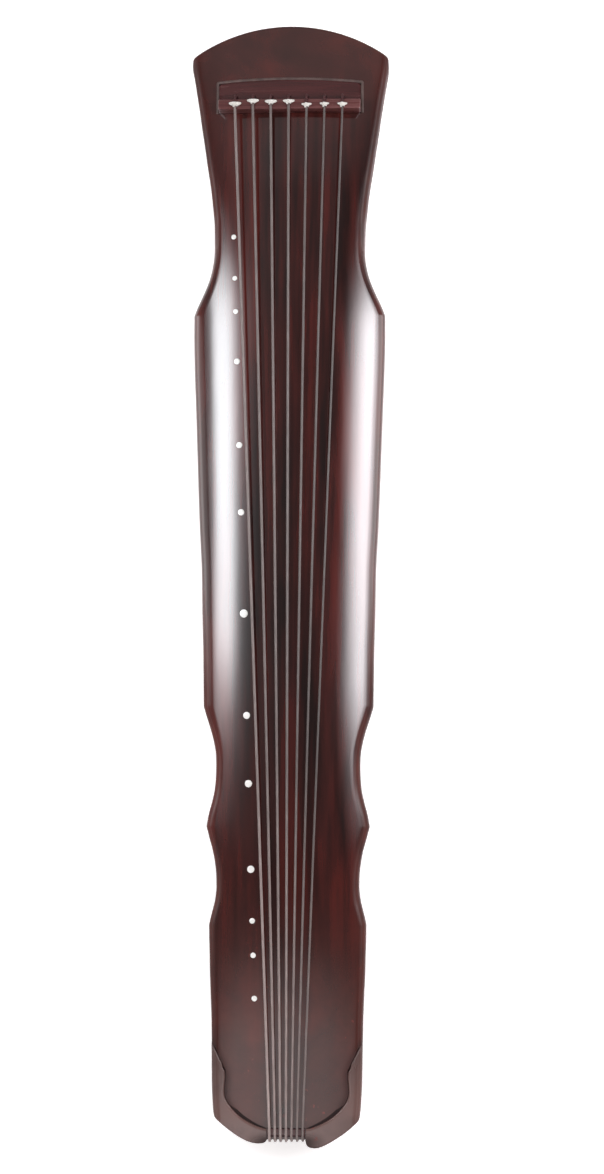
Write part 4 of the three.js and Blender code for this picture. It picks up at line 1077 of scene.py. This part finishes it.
# ----------------------------------------------------------- nut and lower gum
NUT_TOP = Z_NUT - 0.85 + 0.05
nut = rounded([(-602.4, 54.4), (NUT_X + 0.9, 54.4), (NUT_X + 0.9, NUT_TOP - 0.7), (NUT_X + 0.2, NUT_TOP + 0.02), (-598.0, NUT_TOP - 0.1), (-602.4, NUT_TOP - 4.6)], [0, 0, 0.8, 0.8, 5, 2.5], 8)
piece(plate("dragon_gum_nut", nut, -NUT_Y, NUT_Y, HARD_Y, r0=0.5, r1=0.5, place=lambda a, b, c: (a, c, b), steps=3), "hardwood", "dragon_gum")
gum = rounded([(-602.4, 53.9), (-602.4, 31.0), (-599.6, 29.0), (-588, 29.0), (NUT_X + 4.2, 31), (NUT_X + 4.2, 53.9)], [0, 3, 3, 1.5, 1.5, 0], 8)
piece(plate("lower_gum_block", gum, -NUT_Y, NUT_Y, HARD_Y, r0=0.5, r1=0.5, place=lambda a, b, c: (a, c, b), steps=3), "hardwood", "lower_gum")

# ---------------------------------------------------------------------- markers
for i, (t, d) in enumerate(zip(HUI_T, HUI_D)):
    x, y = BRIDGE_X - SCALE * t, HUI_LINE[0] + HUI_LINE[1] * t
    e = 2.5
    nrm = Vector((-(float(surf(x + e, y)) - float(surf(x - e, y))) / (2 * e), -(float(surf(x, y + e)) - float(surf(x, y - e))) / (2 * e), 1)).normalized()
    r = d / 2
    prof = [(0.01, -1.0), (r * 0.98, -1.0), (r, -0.8), (r, 0.02), (r * 0.985, 0.10), (r * 0.94, 0.16), (r * 0.8, 0.2), (r * 0.4, 0.22), (0.01, 0.225)]
    disc = lathe("hui_%d_shell" % (i + 1), prof, 0, 0, 48, SHELL, sharp=60)
    turn = Vector((0, 0, 1)).rotation_difference(nrm).to_matrix().to_4x4()
    disc.data.transform(Matrix.Translation(Vector((x, y, float(surf(x, y)))) * 0.001) @ turn)
    piece(disc, "shell", "hui_%d" % (i + 1))


# ---------------------------------------------------------------------- strings
def bridge_top(x):
    return float(np.interp(x, [516.2, 525.5], [TOP0, 88.8]))


FULL_R = [1.50, 1.50, 1.48, 1.46, 1.34, 1.30, 1.22]      # the strings with their windings
LOW_R = [r * 0.66 for r in FULL_R]                       # under the board, where the outer winding has ended
wind_top, turns_of = {}, {}
for foot, turns in (([0, 1, 2, 3], 1.25), ([6, 5, 4], 2.25)):
    z = 26.5
    for k, i in enumerate(foot):
        wind_top[i], turns_of[i] = z, turns
        nxt = foot[k + 1] if k + 1 < len(foot) else i
        z -= (2 * LOW_R[i] + 0.03) * int(turns) + LOW_R[i] + LOW_R[nxt] + 0.03
for i in range(7):
    r, ru, yb, yn = FULL_R[i], LOW_R[i], Y_BRIDGE[i], Y_NUT[i]
    s = 1 if i < 4 else -1
    kx = KNOT_X[i]
    kz = bridge_top(kx) + 2.2
    zb = TOP0 + r - 0.05
    zn = NUT_TOP + r
    path = [(kx - 0.5, yb, kz), (517.6, yb, zb + 0.1), (515.8, yb, zb + 0.08), (514.6, yb, zb - 0.02)]
    path += [(x, yb + (yn - yb) * f, zb + (zn - zb) * f) for f in np.linspace(0.004, 0.998, 60) for x in [514 + (NUT_X - 514) * f]]
    arc = [(NUT_X - 2, yn, zn), (-597.6, yn, zn - 0.15), (-600.4, yn, zn - 0.9), (-602.2, yn, zn - 2.4), (-603.1, yn, zn - 4.6), (-602.4 - r - 0.05, yn, zn - 7.5), (-602.4 - r - 0.05, yn, 50),
           (-602.4 - ru - 0.05, yn, 34), (-602.4 - ru, yn, 31.6), (-601.9 - ru * 0.7, yn, 30.0 - ru * 0.4), (-600.6, yn, 29.1 - ru), (-598.6, yn, 28.85 - ru), (-596, yn, 28.9 - ru)]
    radii = [r] * len(path)
    turned = list(spline(arc, 0.7))
    path += turned
    radii += [float(np.interp(q[2], [33, 50], [ru, r])) for q in turned]
    R = NECK_R + ru + 0.02
    fy = s * FEET[1]
    head = math.atan2(fy - s * R - yn, FEET[0] + 596)
    start = -s * math.pi / 2 + head
    n = int(turns_of[i] * 28)
    wind = []
    for k in range(n + 1):
        a = start + s * 2 * math.pi * turns_of[i] * k / n
        zz = wind_top[i] - (2 * ru + 0.03) * turns_of[i] * k / n
        tuck = max(0.0, k - (n - 6)) / 6
        wind.append((FEET[0] + (R - tuck * 1.6 * ru) * math.cos(a), fy + (R - tuck * 1.6 * ru) * math.sin(a), zz))
    p0, p1 = np.array(path[-1]), np.array(wind[0])
    path += [tuple(p0 + (p1 - p0) * f) for f in np.linspace(0.03, 0.97, 14)]
    path += wind
    radii += [ru] * (len(path) - len(radii))
    piece(tubes("string_%d_wire" % (i + 1), [sweep(path, radii, 12)], STRINGS[i]), "string", "string_%d" % (i + 1))

    # butterfly knot: a flat bow, two ears of folded string, and the wrap round the middle
    A = KNOT_W[i] - 0.3
    big = 0.55 + 0.45 * (A - 4.7) / 1.6
    ears = []
    for side in (1, -1):
        for reach, gap, lift in ((1.0, 1.05 * big, 0.0), (0.74, 0.8 * big, 0.6)):
            pts, rad = [], []
            for t in np.linspace(0, 1, 40):
                u = math.sin(math.pi * t) ** 0.8
                yy = side * A * reach * u
                xx = 0.85 * (u * reach) ** 1.6 + 0.35 + 1.25 * gap * math.cos(math.pi * t) * (1.0 - 0.35 * u)
                zz = 0.3 * (1 - u) + lift - 0.35 * u * u + 0.15 * math.cos(math.pi * t)
                pts.append((kx + xx, yb + yy, kz + zz - 0.35))
                rad.append((0.66 + 0.6 * big) * (1 - 0.40 * (u * reach) ** 2.2))
            pts, rad = np.array(pts), np.array(rad)
            s0 = np.concatenate([[0], np.cumsum(np.linalg.norm(np.diff(pts, axis=0), axis=1))])
            fine = np.arange(0, s0[-1], 0.4)
            path_k = np.stack([np.interp(fine, s0, pts[:, k]) for k in range(3)], 1)
            ears.append(sweep(path_k, list(np.interp(fine, s0, rad)), 14, plies=3, pitch=5.0, depth=0.15))
    wrap = []
    turns = 3.2
    for t in np.linspace(0, 2 * math.pi * turns, 110):
        f = t / (2 * math.pi * turns)
        rw = (1.45 + 0.7 * math.sin(math.pi * (0.2 + 0.65 * f))) * (0.72 + 0.28 * big)
        wrap.append((kx - 2.5 + 4.2 * f, yb + rw * math.sin(t), kz - 0.05 + rw * 0.85 * math.cos(t)))
    ears.append(sweep(resample(wrap, 0.4), 0.85, 12, plies=3, pitch=4.5, depth=0.16, taper=0.6))
    piece(tubes("string_%d_knot" % (i + 1), ears, WHITE), "string")

    # silk cord: a loop round the knot's neck, then twisted down through the head into the peg
    c = np.array([(kx + 3.2, yb, kz - 0.9), (max(kx + 4.6, 526.6), yb, 90.9), (529.1, yb, 89.4), (530.9, yb, 86.6), (531.8, yb, 82.6), (PEG_X, yb, 78), (PEG_X, yb, 60), (PEG_X, yb, 34)])
    core = spline(c, 0.8, 0.45)
    strands = []
    tan = np.gradient(core, axis=0)
    tan /= np.linalg.norm(tan, axis=1)[:, None]
    sl = np.concatenate([[0], np.cumsum(np.linalg.norm(np.diff(core, axis=0), axis=1))])
    side_v = np.array([0, 1.0, 0])
    up_v = np.cross(tan, side_v)
    for ph in (0, math.pi):
        ang = sl / 5.2 * 2 * math.pi + ph + math.pi / 2
        off = side_v * np.cos(ang - math.pi / 2)[:, None] + up_v * np.sin(ang - math.pi / 2)[:, None]
        strand = core + off * 0.78
        lead = [(kx - 2.6, yb, kz - 0.9 - 0.2), (kx - 2.2, yb + math.cos(ph) * 1.2, kz - 1.1), (kx - 0.4, yb + math.cos(ph) * 2.2, kz - 1.25), (kx + 1.8, yb + math.cos(ph) * 1.5, kz - 1.1)]
        lead = spline(lead + [tuple(strand[0])], 0.7)
        strands.append(sweep(np.vstack([lead[:-1], strand]), 0.84, 12, plies=3, pitch=3.6, depth=0.14, taper=0.4))
    piece(tubes("tuning_cord_%d_silk" % (i + 1), strands, RED), "silk", "tuning_cord_%d" % (i + 1))

    # tuning peg, fluted, with the cord's end wound round its neck
    def flute(rad, z, a):
        if 5.2 < z < 29.6 and rad > 5.5:
            k = min(1.0, (z - 5.2) / 2.5, (29.6 - z) / 2.5)
            return rad * (1 - 0.075 * k * abs(math.sin(4 * a)) ** 0.7 * 0.9)
        return rad
    prof = [(0.01, 3.0), (3.6, 3.0), (5.0, 3.25), (5.9, 3.9), (6.35, 4.8), (6.5, 5.6), (6.65, 8), (6.85, 13), (7.0, 18), (6.98, 23), (6.85, 27.5), (6.7, 29.6), (6.4, 30.5), (5.7, 31.0), (5.25, 31.6),
            (5.1, 33), (5.1, 35.2), (5.3, 36.2), (5.9, 36.8), (6.4, 37.4), (6.5, 38.2), (6.5, 40.2), (6.3, 40.75), (5.9, 41.0), (2.6, 41.0), (2.3, 40.7), (2.3, 15.0), (0.01, 14.5)]
    piece(lathe("tuning_peg_%d_turned" % (i + 1), prof, PEG_X, yb, 64, PEGW, flute), "peg_wood", "tuning_peg_%d" % (i + 1), body="peg_%d" % (i + 1))
    coil = []
    for t in np.linspace(0, 2 * math.pi * 2.6, 90):
        f = t / (2 * math.pi * 2.6)
        rr = 6.05 - (2.2 * max(0, 1 - f * 12)) - 0.55 * max(0, (f - 0.93) / 0.07)
        coil.append((PEG_X + rr * math.sin(t), yb + rr * math.cos(t), 35.3 - 3.3 * f))
    coil = resample(coil, 0.6)
    tn = np.gradient(coil, axis=0)
    tn /= np.linalg.norm(tn, axis=1)[:, None]
    sl = np.arange(len(coil)) * 0.6
    upv = np.array([0, 0, 1.0])
    sd = np.cross(tn, upv)
    wound = []
    for ph in (0, math.pi):
        ang = sl / 4.6 * 2 * math.pi + ph
        wound.append(sweep(coil + (upv * np.cos(ang)[:, None] + sd * np.sin(ang)[:, None]) * 0.42, 0.52, 9, plies=3, pitch=3, depth=0.12, taper=0.5))
    piece(tubes("tuning_peg_%d_winding" % (i + 1), wound, RED), "silk", body="peg_%d" % (i + 1))

# --------------------------------------------------------- floor, light, camera
floor = make("floor", [(-9000, -9000, 0), (9000, -9000, 0), (9000, 9000, 0), (-9000, 9000, 0)], [(0, 1, 2, 3)])
fm = bpy.data.materials.new("floor")
fm.use_nodes = True
ft = fm.node_tree
fb = next(n for n in ft.nodes if n.type == "BSDF_PRINCIPLED")
fb.inputs["Base Color"].default_value = (0.985, 0.968, 0.965, 1)
fb.inputs["Roughness"].default_value = 0.9
fb.inputs["Specular IOR Level"].default_value = 0.1
fb.inputs["Emission Color"].default_value = (1.0, 0.99, 0.985, 1)
fb.inputs["Emission Strength"].default_value = 0.36
clear = ft.nodes.new("ShaderNodeBsdfTransparent")
geo = ft.nodes.new("ShaderNodeNewGeometry")
mixs = ft.nodes.new("ShaderNodeMixShader")
outm = next(n for n in ft.nodes if n.type == "OUTPUT_MATERIAL")
ft.links.new(geo.outputs["Backfacing"], mixs.inputs[0])
ft.links.new(fb.outputs[0], mixs.inputs[1])
ft.links.new(clear.outputs[0], mixs.inputs[2])
ft.links.new(mixs.outputs[0], outm.inputs["Surface"])
floor.data.materials.append(fm)

world = bpy.data.worlds.new("studio")
scene.world = world
world.use_nodes = True
wt = world.node_tree
bg = next(n for n in wt.nodes if n.type == "BACKGROUND")
tc = wt.nodes.new("ShaderNodeTexCoord")
sep = wt.nodes.new("ShaderNodeSeparateXYZ")
wt.links.new(tc.outputs["Generated"], sep.inputs[0])
rampn = wt.nodes.new("ShaderNodeValToRGB")
r = rampn.color_ramp
stops = [(0.0, 0.62), (0.30, 0.60), (0.52, 0.55), (0.68, 0.40), (0.86, 0.20), (0.97, 0.10), (1.0, 0.08)]      # over the sine of the elevation
while len(r.elements) < len(stops):
    r.elements.new(0.5)
for e, (pos, v) in zip(r.elements, stops):
    e.position, e.color = pos, (v, v * 0.975, v * 0.975, 1)
wt.links.new(sep.outputs["Z"], rampn.inputs["Fac"])
wt.links.new(rampn.outputs["Color"], bg.inputs["Color"])
bg.inputs["Strength"].default_value = 1.0


def panel(name, x, y, z, radiance, ramp_x, ramp_s, colour=(1.0, 0.985, 0.985), skew=0.0):
    """A soft box that the camera doesn't see, level at height z or, where z is a pair, upright at y and facing the board.
    Its brightness follows ramp_x along X and ramp_s along its other side, both as (position in metres, share) from low to high.
    With skew, ramp_s runs that much further per metre of X."""
    upright = hasattr(z, "__len__")
    s = z if upright else y
    light = bpy.data.lights.new(name, "AREA")
    light.shape, light.size, light.size_y = "RECTANGLE", x[1] - x[0], s[1] - s[0]
    light.energy = radiance * math.pi * light.size * light.size_y
    light.color = colour
    light.use_nodes = True
    t = light.node_tree
    em = next(n for n in t.nodes if n.type == "EMISSION")
    geo = t.nodes.new("ShaderNodeNewGeometry")
    sep = t.nodes.new("ShaderNodeSeparateXYZ")
    t.links.new(geo.outputs["Position"], sep.inputs[0])
    parts = []
    for socket, pts in (("X", ramp_x), ("Z" if upright else "Y", ramp_s)):
        m = t.nodes.new("ShaderNodeMapRange")
        m.inputs["From Min"].default_value, m.inputs["From Max"].default_value = pts[0][0], pts[-1][0]
        lean = t.nodes.new("ShaderNodeMath")
        lean.operation = "MULTIPLY_ADD"
        t.links.new(sep.outputs["X"], lean.inputs[0])
        lean.inputs[1].default_value = skew if socket == "Y" else 0.0
        t.links.new(sep.outputs[socket], lean.inputs[2])
        t.links.new(lean.outputs[0], m.inputs["Value"])
        c = t.nodes.new("ShaderNodeValToRGB")
        while len(c.color_ramp.elements) < len(pts):
            c.color_ramp.elements.new(0.5)
        for e, (p, v) in zip(c.color_ramp.elements, pts):
            e.position, e.color = (p - pts[0][0]) / (pts[-1][0] - pts[0][0]), (v, v, v, 1)
        t.links.new(m.outputs["Result"], c.inputs["Fac"])
        parts.append(c.outputs["Color"])
    mul = t.nodes.new("ShaderNodeMath")
    mul.operation = "MULTIPLY"
    t.links.new(parts[0], mul.inputs[0])
    t.links.new(parts[1], mul.inputs[1])
    t.links.new(mul.outputs[0], em.inputs["Strength"])
    obj = bpy.data.objects.new(name, light)
    scene.collection.objects.link(obj)
    if upright:
        obj.location = ((x[0] + x[1]) / 2, y, (z[0] + z[1]) / 2)
        obj.rotation_euler = (-math.pi / 2 if y > 0 else math.pi / 2, 0, 0)
    else:
        obj.location = ((x[0] + x[1]) / 2, (y[0] + y[1]) / 2, z)
    obj.visible_camera = False
    return obj


panel("softbox_left", (-0.30, 0.82), (0.40, 1.06), 1.55, 22.0,
      [(-0.30, 0.02), (-0.18, 0.05), (-0.13, 0.12), (-0.07, 0.42), (0.0, 0.80), (0.14, 0.95), (0.30, 1.0), (0.45, 1.0), (0.53, 0.93), (0.61, 0.80), (0.67, 0.38), (0.72, 0.18), (0.82, 0.0)],
      [(0.40, 0.0), (0.48, 0.025), (0.53, 0.045), (0.57, 0.075), (0.62, 0.175), (0.67, 0.47), (0.70, 0.76), (0.75, 0.96), (0.80, 1.0), (0.86, 0.97), (0.895, 0.78), (0.925, 0.42), (0.955, 0.14), (0.98, 0.05), (1.06, 0.0)], (0.940, 0.968, 1.0), skew=0.055)
panel("softbox_right", (-0.34, 0.82), (-1.6, -0.44), 1.55, 22.0,
      [(-0.34, 0.0), (-0.22, 0.14), (-0.14, 0.38), (-0.08, 0.74), (0.0, 0.80), (0.14, 0.92), (0.30, 1.0), (0.50, 1.0), (0.56, 0.85), (0.60, 0.62), (0.65, 0.3), (0.72, 0.1), (0.82, 0.0)],
      [(-1.6, 0.08), (-1.3, 0.2), (-1.05, 0.34), (-0.93, 0.45), (-0.86, 0.62), (-0.81, 0.86), (-0.77, 0.98), (-0.72, 1.0), (-0.69, 0.93), (-0.65, 0.75), (-0.58, 0.36), (-0.53, 0.13), (-0.49, 0.04), (-0.45, 0.0)], (0.985, 0.965, 1.0), skew=0.05)
panel("wall_left", (-0.12, 0.92), 2.2, (0.0, 3.3), 3.7,
      [(-0.12, 0.0), (-0.06, 0.6), (0.0, 1.0), (0.70, 1.0), (0.82, 0.6), (0.92, 0.0)],
      [(0.0, 0.85), (0.9, 1.0), (1.2, 0.85), (1.5, 0.58), (2.0, 0.46), (2.6, 0.42), (3.1, 0.34), (3.3, 0.1)])
panel("wall_right", (-0.12, 0.92), -2.2, (0.0, 2.6), 3.8,
      [(-0.12, 0.0), (-0.06, 0.6), (0.0, 1.0), (0.70, 1.0), (0.82, 0.6), (0.92, 0.0)],
      [(0.0, 0.9), (0.4, 1.0), (2.2, 1.0), (2.6, 0.5)])
panel("over_glow", (-0.44, 1.0), (-0.45, 0.64), 1.57, 0.26,
      [(-0.44, 0.0), (-0.32, 0.5), (-0.1, 0.8), (0.05, 0.85), (0.15, 0.9), (0.50, 0.9), (0.68, 1.15), (0.90, 1.15), (1.0, 0.6)],
      [(-0.45, 0.0), (-0.32, 0.45), (-0.1, 0.42), (0.04, 0.5), (0.20, 0.8), (0.36, 1.1), (0.50, 1.0), (0.64, 0.0)])
panel("waist_glow", (-0.36, 0.10), (0.44, 0.92), 1.56, 0.9,
      [(-0.36, 0.0), (-0.24, 0.4), (-0.16, 1.0), (-0.07, 0.95), (0.01, 0.4), (0.10, 0.0)],
      [(0.44, 0.0), (0.50, 0.16), (0.56, 0.5), (0.62, 0.9), (0.67, 0.95), (0.76, 0.4), (0.92, 0.0)], (0.95, 0.968, 1.0))
panel("tail_glow", (-1.7, -0.30), (-0.9, 0.9), 1.55, 1.62,
      [(-1.7, 1.0), (-0.80, 1.0), (-0.66, 0.86), (-0.57, 0.42), (-0.50, 0.10), (-0.40, 0.0), (-0.30, 0.0)],
      [(-0.9, 0.0), (-0.5, 0.5), (-0.25, 0.85), (0.1, 1.0), (0.5, 1.0), (0.7, 0.5), (0.9, 0.0)])
panel("head_glow", (0.86, 1.7), (-0.7, 0.7), 1.55, 0.42,
      [(0.86, 0.0), (1.0, 0.9), (1.1, 1.0), (1.45, 1.0), (1.7, 0.3)],
      [(-0.7, 0.4), (-0.4, 1.0), (0.4, 1.0), (0.7, 0.4)])

cam = bpy.data.cameras.new("camera")
camera = bpy.data.objects.new("camera", cam)
scene.collection.objects.link(camera)
fwd = Vector((math.tan(0.08484), math.tan(0.04516), -1)).normalized()
up = (Vector((1, 0, 0)) - fwd * fwd.x).normalized()
right = fwd.cross(up)
g = 0.0035
r2, u2 = right * math.cos(g) + up * math.sin(g), -right * math.sin(g) + up * math.cos(g)
m = Matrix((r2, u2, -fwd)).transposed().to_4x4()
m.translation = Vector((-0.25858, -0.147535, 3.0))
camera.matrix_world = m
cam.sensor_width = 36
cam.lens = 36 * 2709.4 / 1174
cam.clip_start, cam.clip_end = 0.05, 60
scene.camera = camera
